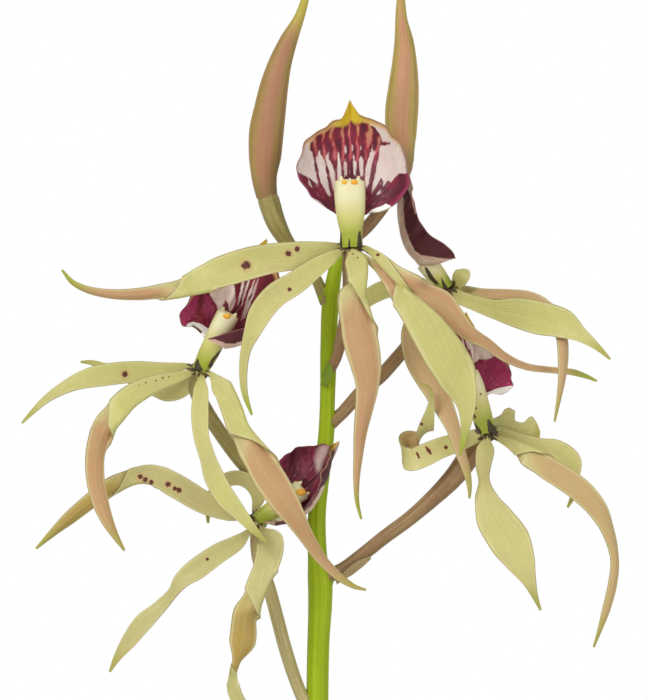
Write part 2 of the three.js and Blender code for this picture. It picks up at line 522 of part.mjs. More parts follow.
    [65.3, -9.5, 361, 2.1, 145], [64.9, -9, 356, 2.2, 150], [63.6, -8.5, 350.5, 2, 155],
    [62, -8, 345.5, 1.1, 155], [60.7, -7.5, 341.8, 0.5, 155],
  ],
  flower_e_right_sepal: [
    [39.8, -5.2, 389.6, 1.4, 0], [44, -6, 387, 3.2, 0], [49, -6.4, 384.9, 5.2, 0], [52.6, -6.4, 383.8, 6, 0],
    [54.8, -6, 381.2, 5.6, 0], [55.8, -5.6, 377.8, 3.8, 0], [56.2, -5.4, 374.8, 1.8, 0], [55, -5.4, 372.4, 0.5, 0],
  ],
  flower_e_left_sepal: [
    [39, -4.2, 391.4, 1.3, 0], [40.4, -2.8, 393, 2, [0, -1, 0]], [41.8, -1, 393.6, 2.4, [0.4, -1, 0.4]],
    [43, 0.6, 392.4, 3, [0.6, -0.8, 0.6]], [44.8, 1.6, 391, 4, [0.5, -0.9, 0.5]],
    [46.6, 2.4, 389.4, 4.8, [0.3, -1, 0.2]], [47.4, 2.8, 386.8, 4, [0, -1, 0]], [47, 3, 384, 1.4, [0, -1, 0]],
  ],
};
for (const [name, stations] of Object.entries(TEPALS)) {
  const outside = name.includes("dorsal") || name.includes("right");
  place(name, blade(stations, TEPAL_THICKNESS), outside ? TEPAL_TAN : TEPAL_GREEN, 0.55);
}

// Columns: x, y, z, width and depth
const COLUMNS = {
  flower_a_column: [
    [7.5, -12, 430.3, 4.8, 4], [7.5, -12, 432.4, 4.6, 3.6], [7.4, -12, 435, 5.4, 3.8], [7.3, -12, 438, 6.2, 4],
    [7.2, -12, 441.5, 6.6, 4], [7.2, -12, 445, 6.4, 3.6],
  ],
  flower_b_column: [[29.2, 9.8, 421.8, 3.8, 3.6], [27.4, 9.2, 424.2, 4.4, 3.8], [25.6, 8.4, 426.6, 4.6, 3.8]],
  flower_c_column: [
    [-24.9, -10.2, 404, 3.8, 3.6], [-23.9, -10.6, 406, 4.2, 3.6], [-22.3, -11, 409.2, 4.4, 3.8],
    [-20.6, -11.4, 412.6, 4.8, 4], [-18.9, -12, 416, 4.8, 3.6],
  ],
  flower_d_column: [
    [-11.6, -8, 370.6, 3.8, 3.6], [-9.8, -8.2, 371.8, 4, 3.6], [-6.4, -8.6, 374.2, 4.4, 3.8], [-3, -9, 376.6, 4.6, 3.6],
  ],
  flower_e_column: [
    [36.8, -6.9, 390.4, 4, 3.8], [36.1, -7.3, 393, 4.3, 3.8], [35.1, -8, 396.5, 4.4, 3.8],
    [34.1, -8.8, 399.5, 4.6, 3.8], [32.9, -9.6, 402, 4.6, 3.6],
  ],
};
for (const [name, stations] of Object.entries(COLUMNS)) {
  place(name, rod(stations), COLUMN_CREAM, 0.4);
}

// Lips, the cockleshells
const LIPS = {
  flower_a_lip: {
    throat: [[4.8, -8.8, 436.3], [7.4, -8.4, 436.8], [10, -8.8, 436.3]],
    belly: [
      [4.5, -9, 436.7], [-1.2, -8.2, 441.2], [-1, -4.6, 449], [7.3, -1.8, 450.5], [15.8, -4.6, 449],
      [16.6, -8.2, 441.2], [10.3, -9, 436.7],
    ],
    rim: [
      [4.2, -9.2, 436.9], [0.5, -11.6, 439.3], [-3, -13, 443], [-4.3, -12.6, 447], [-2.6, -11, 452.2],
      [0.8, -9.6, 455.4], [4.4, -8.6, 457.4], [7.2, -8.6, 461.8], [10, -8.6, 458.6], [14.4, -9.6, 456.3],
      [17.6, -10.8, 453], [19.6, -12, 448], [20, -13, 443], [16.5, -12, 438.4], [10.6, -9.2, 436.9],
    ],
  },
  flower_b_lip: {
    throat: [[27.5, 5.2, 425.2], [21.8, 8.4, 425.4], [27, 13.4, 425.8]],
    belly: [
      [28.8, 4.8, 426], [22, 4.2, 427.5], [17, 5.6, 431], [15.4, 8.5, 435], [17.6, 12.5, 431.5],
      [22.5, 14.8, 428.8], [29, 13.6, 427],
    ],
    rim: [
      [30.7, 6, 427.3], [29, 4.6, 429.8], [27, 4, 431.3], [24.4, 3.6, 432.8], [22.6, 3.8, 435],
      [21.3, 4.6, 438], [21, 5.6, 441.5], [20, 8.5, 447.5], [21.6, 12, 442.5], [22.8, 14.5, 439],
      [24.4, 16, 436], [26.4, 16.4, 433.4], [28.4, 15.6, 431.4], [30.2, 14.4, 429.6], [31.2, 12.6, 427.8],
    ],
  },
  flower_c_lip: {
    throat: [[-25.2, -9.4, 410.2], [-22.6, -7.4, 409], [-19.4, -9.2, 407.6]],
    belly: [
      [-25.4, -9.5, 410.9], [-27.5, -8, 415.4], [-22.5, -4, 420], [-15.5, -2, 419], [-11.5, -4.5, 414],
      [-13.5, -11, 409], [-17.4, -15, 407.6],
    ],
    rim: [
      [-25.6, -9.8, 411.6], [-27.2, -12, 413.2], [-29.8, -12.6, 413.9], [-29.5, -12, 416.6], [-27.2, -10.8, 419],
      [-22.5, -8.8, 423], [-16.5, -7.2, 428], [-11, -7.5, 431.4], [-9.6, -8.2, 427], [-8.4, -9.5, 422.5],
      [-8.8, -11.6, 417.5], [-11.6, -14.2, 413], [-15.6, -16, 410], [-19.2, -16.2, 407.9], [-23, -15.4, 408.8],
    ],
  },
  flower_d_lip: {
    throat: [[-10, -7.4, 376.2], [-7.6, -5.4, 374], [-5.6, -7.6, 370.2]],
    belly: [
      [-10.1, -7.3, 376.8], [-7.5, -3, 379.5], [-3.5, -0.5, 381], [3.4, -2.5, 379], [6.2, -6.5, 376.5],
      [1.5, -9.5, 371], [-5.4, -10.2, 368.6],
    ],
    rim: [
      [-10.3, -7.2, 377.4], [-10.2, -6.2, 379.4], [-9, -4.8, 381.6], [-7, -3.8, 383.8], [-4.6, -3.4, 385.4],
      [-1.4, -3.8, 386], [2, -5, 386.3], [4.9, -7, 387], [3.4, -9.4, 384.8], [2, -11.2, 382],
      [0.8, -12.4, 379], [0, -13, 376], [-1.4, -13.2, 373], [-4.2, -13, 370], [-7.5, -12.6, 368.4],
    ],
  },
  flower_e_lip: {
    throat: [[32.6, -6.4, 394.6], [35.2, -4.8, 395.4], [38, -6.6, 396.2]],
    belly: [
      [32.3, -6.5, 395.2], [30, -5, 400.5], [30.6, -2.4, 407], [33.8, -1, 407], [38, -2.6, 404],
      [40.5, -5.4, 400], [38.3, -6.8, 396.7],
    ],
    rim: [
      [32, -6.6, 395.8], [30.6, -7.6, 397], [29.6, -8.2, 399.4], [29, -8.2, 402.6], [28.4, -7.8, 406],
      [28.4, -7, 409.4], [30, -6.2, 412.8], [33, -5.6, 416.4], [35.4, -6.4, 411.8], [38, -7.2, 407.8],
      [40.6, -8.2, 404.4], [42.4, -9.2, 401], [42.6, -9.6, 398.8], [40.8, -9, 397.6], [38.7, -7, 397.2],
    ],
  },
};
for (const [name, lip] of Object.entries(LIPS)) {
  place(name, shell(lip), LIP_MAROON, 0.5);
}

export default orchid;
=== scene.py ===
import math

import bmesh
import bpy
import numpy as np
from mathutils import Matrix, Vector


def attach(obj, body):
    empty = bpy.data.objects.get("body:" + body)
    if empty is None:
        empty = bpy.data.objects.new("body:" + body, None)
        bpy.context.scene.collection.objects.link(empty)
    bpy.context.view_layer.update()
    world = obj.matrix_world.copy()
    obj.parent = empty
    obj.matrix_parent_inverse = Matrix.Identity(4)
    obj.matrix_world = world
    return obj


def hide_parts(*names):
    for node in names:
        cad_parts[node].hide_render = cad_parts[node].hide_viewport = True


# A potted cockleshell orchid: a clay pot of bark, a rhizome with three pseudobulbs and their
# leaves, and one upright stem with five open flowers and two buds. The flowers look towards -Y.
# Lengths are in millimetres, and in pixels or metres where a comment says so. Finished meshes and
# the sizes in the finishes are in metres.

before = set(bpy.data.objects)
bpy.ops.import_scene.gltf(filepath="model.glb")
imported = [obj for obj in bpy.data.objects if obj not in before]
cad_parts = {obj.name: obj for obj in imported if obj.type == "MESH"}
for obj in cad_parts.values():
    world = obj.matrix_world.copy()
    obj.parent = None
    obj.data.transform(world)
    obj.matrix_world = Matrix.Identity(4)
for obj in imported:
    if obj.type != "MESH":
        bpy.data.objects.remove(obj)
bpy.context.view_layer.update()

MM = 0.001
UP = (0, 0, 1)
VIEWER = np.array([0.0, -1.0, 0.0])

# In degrees: the turn from which an edge stays sharp, and the most that a rolled blade leans
SHARP_ANGLE = 55
MOST_TILT = 28

# How finely small knobs are made
KNOB_SIDES = 14
KNOB_ROWS = 11

# The photograph: its size in pixels, the millimetres that a pixel spans where the stem stands,
# the pixel across where x is 0, and the height of its upper edge in millimetres
PHOTO_SIZE = (648, 700)
PIXEL = 0.22
MIDDLE_PIXEL = 317
UPPER_EDGE = 484

# The camera sees the photograph's frame, from so many metres away. Its sensor is in millimetres.
CAMERA_DISTANCE = 2.5
SENSOR_WIDTH = 36

# The room: its light from all around, lamps with place, breadth and power, and where they aim, all
# in metres, and the floor in millimetres
AMBIENT = 0.5
LAMPS = [
    ("window", (-1.4, -2.0, 1.9), 1.4, 42),
    ("fill", (1.8, -1.6, 0.8), 1.6, 11),
    ("back_light", (0.6, 1.8, 1.6), 1.4, 16),
]
LAMP_AIM = (0, 0, 0.36)
FLOOR_RADIUS = 3500

# Pot and bark
POT_HEIGHT = 115
POT_RIM_RADIUS = 65
POT_BASE_RADIUS = 43
POT_WALL = 5
POT_FLOOR = 7
RIM_BAND = 20
RIM_STEP = 3
DRAIN_HOLES = 4
DRAIN_RADIUS = 5
DRAIN_RING = 24
BARK_TOP = 102
BARK_GAP = 0.35

# Inputs of the loose bark: the kind of each, and its value, where lengths are in metres
BARK_CHIPS = {
    "Spacing": ("Float", 0.0044),
    "Chip size": ("Vector", (0.011, 0.0065, 0.0032)),
    "Roughness": ("Float", 0.0034),
    "Reach": ("Float", 0.0465),
    "Seed": ("Int", 11),
}
CHIP_SIZE_SEED = 3
CHIP_TONE_SEED = 5
CHIP_DENSITY = 90000.0

# Rhizome and roots, as x, y, z and thickness
RHIZOME_Z = 106.1
SCALE_RINGS = 11
RHIZOME = [
    [-40, -24, RHIZOME_Z, 3], [-36, -16, RHIZOME_Z, 7], [-32, -4, RHIZOME_Z, 7], [-25, 8, RHIZOME_Z, 7],
    [-12, 6, RHIZOME_Z, 7], [0, 0, RHIZOME_Z, 7], [9, -4, RHIZOME_Z, 3],
]
ROOTS = [
    [[2, -2, 106.1, 3], [10, -14, 107.1, 3], [20, -26, 104.8, 2.8], [32, -32, 104.4, 2.2]],
    [[-2, 1, 106.1, 3], [6, 14, 107.1, 3], [18, 26, 104.8, 2.8], [22, 40, 104.4, 2.2]],
    [[-20, 7, 106.1, 3], [-14, 20, 107.1, 3], [-16, 34, 104.8, 2.8], [-8, 46, 104.4, 2.2]],
    [[-33, -8, 106.1, 3], [-20, -18, 107.1, 3], [-10, -30, 104.8, 2.8], [-12, -44, 104.4, 2.2]],
]

# Pseudobulbs: x, y, height and width. Their shape is width against height, as shares.
BULB_BASE = 109.95
BULBS = {
    "pseudobulb_new": (0, 0, 92, 25),
    "pseudobulb_middle": (-25, 8, 82, 24),
    "pseudobulb_old": (-36, -16, 70, 22),
}
BULB_SHAPE = [
    (-0.04, 0.26), (0, 0.34), (0.08, 0.62), (0.25, 0.94), (0.42, 1), (0.62, 0.84), (0.82, 0.52), (1, 0.34),
]

# Leaves: each midrib as x, y, z and width
LEAF_THICKNESS = 1.5
LEAVES = {
    "leaf_new_left": [
        [-5.6, 1, 203.5, 7], [-10, 3, 220, 15], [-18, 5, 238, 24], [-32, 8, 260, 32], [-52, 13, 278, 36],
        [-76, 18, 288, 34], [-98, 23, 286, 26], [-112, 27, 278, 14], [-120, 29, 271, 3],
    ],
    "leaf_new_right": [
        [5.6, -2, 203.5, 7], [10, -4, 218, 15], [19, -7, 236, 25], [34, -12, 256, 33], [54, -19, 272, 36],
        [77, -27, 279, 33], [98, -34, 274, 25], [111, -38, 264, 14], [118, -41, 256, 3],
    ],
    "leaf_middle_left": [
        [-28.5, 13, 194, 7], [-33, 20, 208, 15], [-41, 31, 224, 25], [-54, 47, 238, 32], [-70, 66, 245, 32],
        [-86, 86, 242, 24], [-97, 99, 234, 13], [-103, 107, 227, 3],
    ],
    "leaf_middle_right": [
        [-20.5, 12, 194, 7], [-16, 20, 210, 15], [-8, 33, 228, 25], [5, 51, 245, 33], [21, 72, 254, 32],
        [37, 92, 251, 24], [47, 106, 243, 13], [53, 114, 236, 3],
    ],
    "leaf_old": [
        [-37, -20, 181.5, 7], [-42, -27, 194, 15], [-50, -39, 208, 24], [-62, -56, 220, 30],
        [-76, -76, 224, 28], [-88, -94, 218, 20], [-95, -105, 210, 11], [-99, -111, 204, 3],
    ],
}

# Stem and stalks: x, y, z and thickness. Buds: x, y, z, width and depth.
STEM = [
    [0, 0, 203.5, 5.4], [0.3, 0, 250, 5.2], [0.1, 0, 300, 5], [0.1, 0, 330, 4.8], [0.3, 0, 342, 4.8],
    [0.7, 0, 351, 5.2], [0.7, 0, 356, 5.4], [0.1, 0, 362, 4.2], [0, 0, 371, 3.9], [1, 0, 380, 3.7],
    [2, 0, 388, 3.5], [2.3, 0, 396, 3.3], [2.6, 0, 408, 3.7], [2.9, 0, 417, 3.7], [3.9, 0, 424, 3.1],
    [4.8, 0, 428, 2.6],
]

# Knobs where stalks leave the stem: centre, and radius along each axis
STEM_KNOBS = [
    ((1.4, -0.4, 419.2), (1.3, 1.2, 1.9)),
    ((2.2, 0, 356.3), (1.5, 1.6, 1.8)),
    ((1.1, 0, 429), (1.3, 1.2, 1.6)),
]

STALKS = {
    "flower_a_pedicel": [
        [4.2, -3.2, 405, 2.2], [5, -4.4, 408, 2.6], [6.2, -6.6, 413, 3], [7.4, -9.4, 421, 3.6],
        [7.6, -11.2, 425.6, 4.2], [7.6, -12, 427.8, 3.8],
    ],
    "flower_b_pedicel": [
        [5.4, 0.8, 393, 2.8], [10, 3, 398, 3], [14, 5, 401.2, 3], [17, 6.5, 404.5, 3], [19.6, 8, 407.5, 3],
        [24, 9.4, 413, 3.2], [28.2, 10, 418.2, 3],
    ],
    "flower_c_pedicel": [
        [-4, 1.2, 368, 2.8], [-8, 1, 373, 3], [-12.5, -1.4, 378, 3.1], [-17, -4.4, 383, 3.2],
        [-21, -6.6, 388.5, 3.2], [-24.5, -8.2, 394, 3.2], [-26.6, -9.2, 398.5, 3.2],
        [-26.5, -9.8, 400.8, 3],
    ],
    "flower_d_pedicel": [
        [-4.2, -1, 333, 2.8], [-7, -2.5, 341.5, 2.9], [-8.7, -4, 348, 2.9], [-10.6, -5.5, 355, 2.9],
        [-12.7, -7, 361, 3], [-13.2, -7.8, 365.6, 3], [-13.1, -8, 367.4, 2.8],
    ],
    "flower_e_pedicel": [
        [5.8, -0.5, 359, 2.8], [10, -1, 362, 3], [15, -2, 366, 3.1], [20, -3, 369.7, 3.2],
        [25, -4, 374, 3.6], [30, -4.6, 379, 4.4], [33, -4.2, 383, 4.8], [35.2, -4, 386, 3.8],
    ],
    "bud_left_pedicel": [
        [-0.6, -0.4, 423.4, 2.4], [-3.2, -1, 426.6, 2.8], [-6.5, -2, 430.6, 3.3], [-9, -3, 435, 4.3],
        [-10.6, -3.5, 439.8, 4.7],
    ],
    "bud_right_pedicel": [
        [6.8, 2.2, 430.4, 2.4], [10.5, 3.5, 433.6, 2.8], [13.4, 4.5, 437, 2.8], [16.8, 5.3, 442, 2.8],
        [19.4, 6, 446.8, 3],
    ],
}

# The papery sheath: how far it wraps round to each side, in degrees, and its size
SHEATH_WRAP = 215
SHEATH_RADIUS = 4.35
SHEATH_FOOT = 206
SHEATH_HEIGHT = 32
SHEATH_THICKNESS = 0.18

# How far below its first station a stalk starts inside the stem, where it isn't 2
STALK_DROPS = {"flower_d_pedicel": 7, "bud_left_pedicel": 6}

BUDS = {
    "bud_left": [
        [-11, -3.6, 440.6, 4.6, 4.2], [-11.6, -3.8, 445, 5.6, 5], [-11.4, -4, 450, 7.2, 6.4],
        [-11.1, -4.2, 455, 7.6, 6.6], [-10.3, -4.5, 460, 7, 6.2], [-9.4, -4.8, 465, 6.2, 5.6],
        [-8.1, -5.1, 470, 5.1, 4.8], [-6.2, -5.4, 475, 3.9, 3.8], [-3.9, -5.7, 480, 2.3, 2.3],
        [-2.6, -5.9, 484, 1.7, 1.7], [-1.2, -6, 489, 0.7, 0.7],
    ],
    "bud_right": [
        [19.9, 6.2, 448.2, 3, 3], [19.2, 6.3, 451, 4.8, 4.6], [18.6, 6.5, 455, 6.8, 6.2],
        [18.7, 6.8, 460, 7.3, 6.6], [19.1, 7, 465, 6.7, 6.2], [19.3, 7.2, 470, 5.6, 5.4],
        [19.2, 7.4, 475, 4.3, 4.3], [18.6, 7.6, 480, 2.7, 2.7], [18.5, 7.8, 484, 1.9, 1.9],
        [18.4, 8, 491, 0.7, 0.7],
    ],
}

# Bracts, sepals and petals: x, y, z, width and turn. At turn 0 the pale inner face looks at the
# viewer, at 90 the blade is edge on, and at 180 the outer face shows. Three numbers in place of
# the turn say where the inner face looks.
BRACT_THICKNESS = 0.5
TEPAL_THICKNESS = 0.8
BRACTS = {
    "floral_bract_e": [
        [5.6, -3, 357, 1.2, 0], [7.4, -3.2, 358.4, 1.8, 0], [9.6, -3.4, 360, 1.6, 0],
        [11.8, -3.6, 361.4, 0.6, 0],
    ],
    "floral_bract_a": [
        [1.8, -2.7, 400, 1.2, 0], [2.2, -2.8, 401.4, 2.4, 0], [2.5, -2.9, 402.8, 2, 0],
        [2.7, -3, 404.4, 0.6, 0],
    ],
}

TEPALS = {
    "flower_a_left_sepal": [
        [4.9, -11.4, 429.7, 1.5, 0], [2.5, -12.6, 429.1, 3.2, 0], [0, -13.6, 428.5, 4.6, 0],
        [-5, -15.4, 427.6, 6.2, 0], [-10, -16.5, 427, 6.6, 0], [-15, -17, 425.9, 7.1, 0],
        [-20, -17, 424.3, 7, 8], [-25, -16.8, 422.4, 6.2, 28], [-29.5, -16.5, 420.7, 4.6, 62],
        [-35, -16, 419.6, 3.4, 130], [-40, -15.5, 419.1, 2.8, 135], [-45, -15, 419.2, 2.3, 140],
        [-50, -14.5, 420.1, 1.7, 140], [-53.5, -14, 421.8, 1.2, 150], [-55.8, -13.5, 424.5, 0.5, 150],
    ],
    "flower_a_left_petal": [
        [5.5, -13.6, 428.6, 1.4, 0], [3.2, -15, 427.3, 2.8, 0], [0, -16.2, 425.2, 4.1, 0],
        [-5, -18, 421.5, 5.2, 0], [-9, -19, 419, 5.4, 0], [-12, -19.5, 415.5, 5.2, 5],
        [-14, -19.5, 411, 4, 20], [-15.5, -19, 406.5, 2.8, 42], [-16, -18.5, 402, 2.2, 40],
        [-15.7, -18, 397.5, 1.6, 35], [-14.2, -17.5, 392.8, 0.5, 30],
    ],
    "flower_a_dorsal_sepal": [
        [7.6, -14.9, 428.7, 1.6, 0], [8.5, -16.5, 426, 5.3, 0], [8.8, -17.3, 421.8, 4.4, 62],
        [7.8, -17.8, 418.5, 6.6, 150], [8.6, -18, 413, 7.5, 175], [9.8, -18, 408, 7.6, 180],
        [10.8, -17.5, 403, 6.6, 180], [11, -17, 399, 5.1, 175], [10.4, -16.5, 394, 4.2, 155],
        [9.6, -16, 389, 3.2, 150], [9.1, -15.5, 384, 2.3, 150], [8.7, -15, 379, 1.6, 150],
        [8.8, -15, 374, 1, 150], [9.7, -15, 370, 0.5, 150],
    ],
    "flower_a_right_petal": [
        [9.4, -13.9, 428.1, 1.1, 180], [11, -14.5, 426.9, 1.4, 180], [12.8, -15, 425.5, 2, 180],
        [15, -16, 423.5, 3.2, 165], [16.7, -17.6, 421, 3.6, 100], [18, -19.2, 418.8, 4.6, 40],
        [20.5, -20.5, 416, 6.2, 15], [24, -21, 411.5, 8.6, 5], [27.5, -21, 406, 9.6, 0],
        [30.5, -20.5, 401, 8.2, 0], [32.5, -20, 396, 5, 15], [32.6, -19.5, 391, 2.6, 30],
        [31.8, -19, 386.5, 1.2, 30], [31.3, -18.5, 384, 0.5, 30],
    ],
    "flower_a_right_sepal": [
        [10.2, -12.4, 429.4, 1.3, 0], [12, -14.8, 428.5, 1.6, 0], [14, -17, 427, 2.4, 0],
        [17.6, -18.5, 423.8, 3.4, 10], [21.1, -18.5, 421.2, 4.8, 60], [23.6, -17.8, 419.4, 5.3, 115],
        [26.8, -17, 417.5, 6.4, 160], [29.6, -16.5, 414.5, 5.1, 175], [33, -15.8, 410.9, 3.5, 175],
        [37, -14.5, 408.6, 2.8, 150], [41, -12.5, 405.6, 2.2, 150], [46, -9.5, 403.4, 1.7, 150],
        [51, -7, 402.7, 1.5, 150], [56, -5.5, 402.2, 1.5, 150], [59, -5, 401.3, 1.1, 150],
        [61.5, -5, 400.2, 0.5, 150],
    ],
    "flower_b_left_sepal": [
        [26.8, 8, 419.6, 1.4, 0], [24, 7, 421, 3, 0], [20, 6, 421.5, 4.1, 0], [14, 5, 420, 4.1, 0],
        [11, 4.6, 418.2, 3.6, 0], [9, 4.6, 415.8, 2.2, 0], [8.2, 4.6, 413.5, 0.6, 0],
    ],
    "flower_b_dorsal_sepal": [
        [28.4, 7, 419, 2.6, 180], [26, 5.2, 417.8, 3.4, 180], [23, 2.6, 415.6, 4, 180],
        [20.8, -1, 411, 4.5, 180], [21.5, -5, 405.5, 4.8, 180], [24, -8.5, 401, 5.2, 180],
        [26.3, -11, 397.5, 5.2, 180], [28.3, -12, 393.5, 4.2, 175], [30, -12.8, 389.5, 3.2, 165],
        [31.3, -13, 385, 2.5, 160], [32.8, -13.2, 380.5, 1.8, 160], [33.4, -13.2, 377, 1.1, 160],
        [33.4, -13, 374.5, 0.5, 160],
    ],
    "flower_b_left_petal": [
        [30.2, 9.4, 420.8, 1.4, [0, -1, 0.2]], [31, 8, 421.8, 2.9, [0, -1, 0.2]],
        [31.6, 7, 422.8, 3.7, [0, -1, 0.3]], [32.1, 6.6, 423.7, 3.7, [0, -1, 0.4]],
        [32.4, 7.2, 424.4, 2.5, [0, -0.8, 0.6]], [32.5, 9, 424.8, 1.2, [0, -0.5, 1]],
        [32.4, 13, 424.8, 0.9, [0, 0, 1]], [32.1, 19, 424.6, 0.8, [0, 0.1, 1]],
        [32, 26, 423.6, 0.7, [0, 0.2, 1]], [32, 30, 422.6, 0.4, [0, 0.2, 1]],
    ],
    "flower_b_right_sepal": [
        [32.2, 10.8, 420.4, 2, 160], [36, 8.4, 419.6, 2.6, 150], [42, 5, 419.3, 2.7, 150],
        [47, 1, 418.8, 2.7, 150], [50.5, -2.4, 416.8, 2.8, 150], [52.8, -5.6, 413.5, 2.8, 155],
        [53.8, -8.4, 409.5, 2.7, 155], [54, -10.6, 406, 2.6, 155], [53.7, -12, 401, 1.9, 155],
        [52.9, -13, 396, 1.1, 155], [52, -13.5, 391.3, 0.5, 155],
    ],
    "flower_b_right_petal": [
        [31, 8, 418.8, 3, 0], [34, 6.5, 417.6, 3.2, 0], [39, 3, 416, 4.2, 0], [44, -1.4, 415.2, 6.6, 0],
        [49, -6, 414, 7.4, 0], [54, -9.8, 412.7, 6.5, 0], [58, -11.4, 410.2, 3.2, 5],
        [61, -12.4, 408, 1.7, 10], [64.2, -13, 405, 0.5, 10],
    ],
    "flower_c_left_sepal": [
        [-28.3, -9.4, 403.4, 1.4, 0], [-34, -10.5, 402.6, 3.4, 8], [-40, -11.5, 402.2, 4.7, 5],
        [-46, -12.5, 401.6, 4.9, 5], [-51, -13, 400.5, 4.2, 15], [-55.5, -13.5, 398.5, 3, 30],
        [-59, -14, 396.3, 2.1, 35], [-62, -14.5, 393.6, 1.3, 35], [-64.5, -15, 391, 0.5, 30],
    ],
    "flower_c_left_petal": [
        [-27.7, -12.2, 402, 1.4, 0], [-31, -14, 401, 2.6, 0], [-36, -16, 399.5, 4.1, 0],
        [-41, -18, 396.8, 5.3, 5], [-44.5, -19.5, 393, 5.6, 42], [-46.2, -20, 391, 5.6, 88],
        [-47.2, -20.3, 388.4, 5.2, 132], [-48.3, -20.5, 384, 4.6, 155], [-48.3, -20.5, 379, 4.1, 165],
        [-47.4, -20.2, 374.5, 3.8, 165], [-45.8, -20, 370, 2.9, 160], [-44, -19.8, 366.5, 1.7, 155],
        [-42, -19.5, 363.2, 0.5, 150],
    ],
    "flower_c_dorsal_sepal": [
        [-25.3, -12.9, 401, 1.4, 0], [-25.4, -14.5, 398, 3.3, 0], [-25.6, -16.5, 393, 3.8, 0],
        [-25.2, -17.5, 388, 3.5, 10], [-24, -18, 384, 3.5, 5], [-22.3, -18.3, 379, 4.5, 0],
        [-20, -18.6, 375, 4.4, 0], [-17, -18.8, 371.5, 3.2, 0], [-14, -19, 368, 1.9, 0],
        [-11, -19, 365, 0.5, 0],
    ],
    "flower_c_right_petal": [
        [-23.2, -11.9, 401.6, 1.4, 0], [-20.8, -13.5, 398.5, 4.4, 0], [-18.7, -15.5, 394, 4.8, 38],
        [-17, -17, 389.5, 5, 82], [-14.2, -18.3, 385, 6, 140], [-10.6, -19.3, 379.5, 7.2, 168],
        [-7.4, -19.5, 374.5, 6.4, 175], [-4.5, -18.5, 370, 4.6, 175], [-1.8, -16.5, 365.5, 3.2, 170],
        [1.3, -14, 361, 2.6, 155], [5, -12.5, 357.3, 1.9, 150], [8.3, -12, 355.2, 1.1, 150],
        [10.8, -12, 354.5, 0.5, 150],
    ],
    "flower_c_right_sepal": [
        [-28.4, -7.2, 402, 1.4, 0], [-29.4, -5.8, 399.2, 4.4, 0], [-32.4, -4, 398, 4.6, 0],
        [-36, -2.4, 398.8, 3.6, 0], [-41, -1.4, 401, 3, 0], [-46, -0.8, 403, 2, 0],
        [-49.5, -0.6, 404.2, 1.2, 0], [-52, -0.6, 404.4, 0.5, 0],
    ],
    "flower_d_left_petal": [
        [-13.6, -7, 371.9, 1.4, 0], [-12.9, -6.4, 374.6, 3, 0], [-14.2, -6, 377.4, 3.3, 0],
        [-17, -6, 378.9, 3.3, 0], [-20, -6.4, 378.4, 3.2, 0], [-22.6, -7, 376, 2.4, 0],
        [-23.8, -7.5, 372.5, 1.5, 0], [-23.9, -8, 369, 0.5, 0],
    ],
    "flower_d_left_sepal": [
        [-15.2, -9.2, 370.4, 1.3, 0], [-19, -10.5, 371.3, 3.6, 0], [-25, -11.5, 373.8, 5.1, 0],
        [-31, -12, 377.3, 5.4, 0], [-36, -12, 379.7, 4.5, 25], [-40, -12, 379.4, 3.8, 68],
        [-44.5, -12, 377.5, 4, 145], [-49, -12, 374.3, 3.7, 160], [-54, -12, 370.3, 3.1, 160],
        [-58, -12, 366.8, 1.8, 150], [-61.5, -12, 363.5, 0.5, 150],
    ],
    "flower_d_dorsal_sepal": [
        [-14.8, -10.2, 367.4, 1.3, 0], [-17.5, -11.2, 364.8, 3.4, 0], [-21.5, -12, 362.5, 4.4, 0],
        [-26, -12.5, 359.3, 4.8, 5], [-29.5, -12.5, 356.5, 3.9, 25], [-31.5, -12.5, 353.7, 3.2, 48],
        [-34.5, -12.5, 350.5, 3.3, 30], [-38, -12, 347.3, 4.1, 10], [-41, -12, 343.5, 3.4, 5],
        [-43.8, -11.5, 339.5, 1.7, 5], [-45.4, -11, 336.5, 0.5, 5],
    ],
    "flower_d_right_sepal": [
        [-12, -11, 367.6, 1.6, 0], [-10.3, -13, 365, 6, 0], [-10.7, -14, 361, 5.8, 12],
        [-12.5, -14.5, 357, 5, 35], [-14, -15, 353, 5, 66], [-15.6, -15, 349, 6, 148],
        [-16.2, -15, 343.5, 6, 168], [-17.7, -15, 338.5, 1.9, 132], [-18.3, -15, 336, 1.7, 92],
        [-18, -15, 332.5, 3.2, 30], [-16, -15, 328, 3, 10], [-12.5, -14.5, 320, 0.6, 10],
    ],
    "flower_d_right_petal": [
        [-10.8, -4.6, 369.6, 1.4, UP], [-9.8, -1, 369.2, 2.4, UP], [-9.4, 4, 369, 3.4, UP],
        [-9.2, 10, 369.2, 3.8, UP], [-9.1, 17, 370.2, 3.2, UP], [-9, 24, 371, 2, UP],
        [-9, 30, 370.4, 0.6, UP],
    ],
    "flower_e_left_petal": [
        [34.8, -8.1, 388.1, 3.2, 0], [31, -9, 386.8, 4.2, 0], [27, -10, 385.5, 4.6, 0],
        [23.4, -10.6, 383.9, 5, 0], [20.9, -10, 382.9, 5, [-0.5, -0.8, 0.2]],
        [19.4, -8.2, 383.8, 4.8, [-1, -0.2, 0]], [18.7, -6, 385.8, 4.6, [-1, 0.5, 0.2]],
        [19.8, -4.6, 387.2, 4.2, [-0.4, 1, 0.3]], [21.6, -4.8, 387.2, 4, [0.6, 0.8, -0.2]],
        [22.8, -6.4, 388, 4, [1, -0.4, -0.3]], [23.7, -9, 389.6, 3.7, [0.3, -1, -0.1]],
        [24.4, -11.8, 392, 2.7, [0, -1, 0]], [24.9, -13.8, 394.6, 1.7, [0, -1, 0]],
        [25.1, -14.8, 397, 0.9, [0, -1, 0]], [24.6, -15, 398.7, 0.8, [0, -1, 0.1]],
        [22.8, -15, 399.6, 0.5, [0, -1, 0.2]],
    ],
    "flower_e_dorsal_sepal": [
        [37.3, -9, 387.6, 1.4, 0], [36.9, -10, 385, 4, 0], [36.6, -11, 381.5, 3.8, 30],
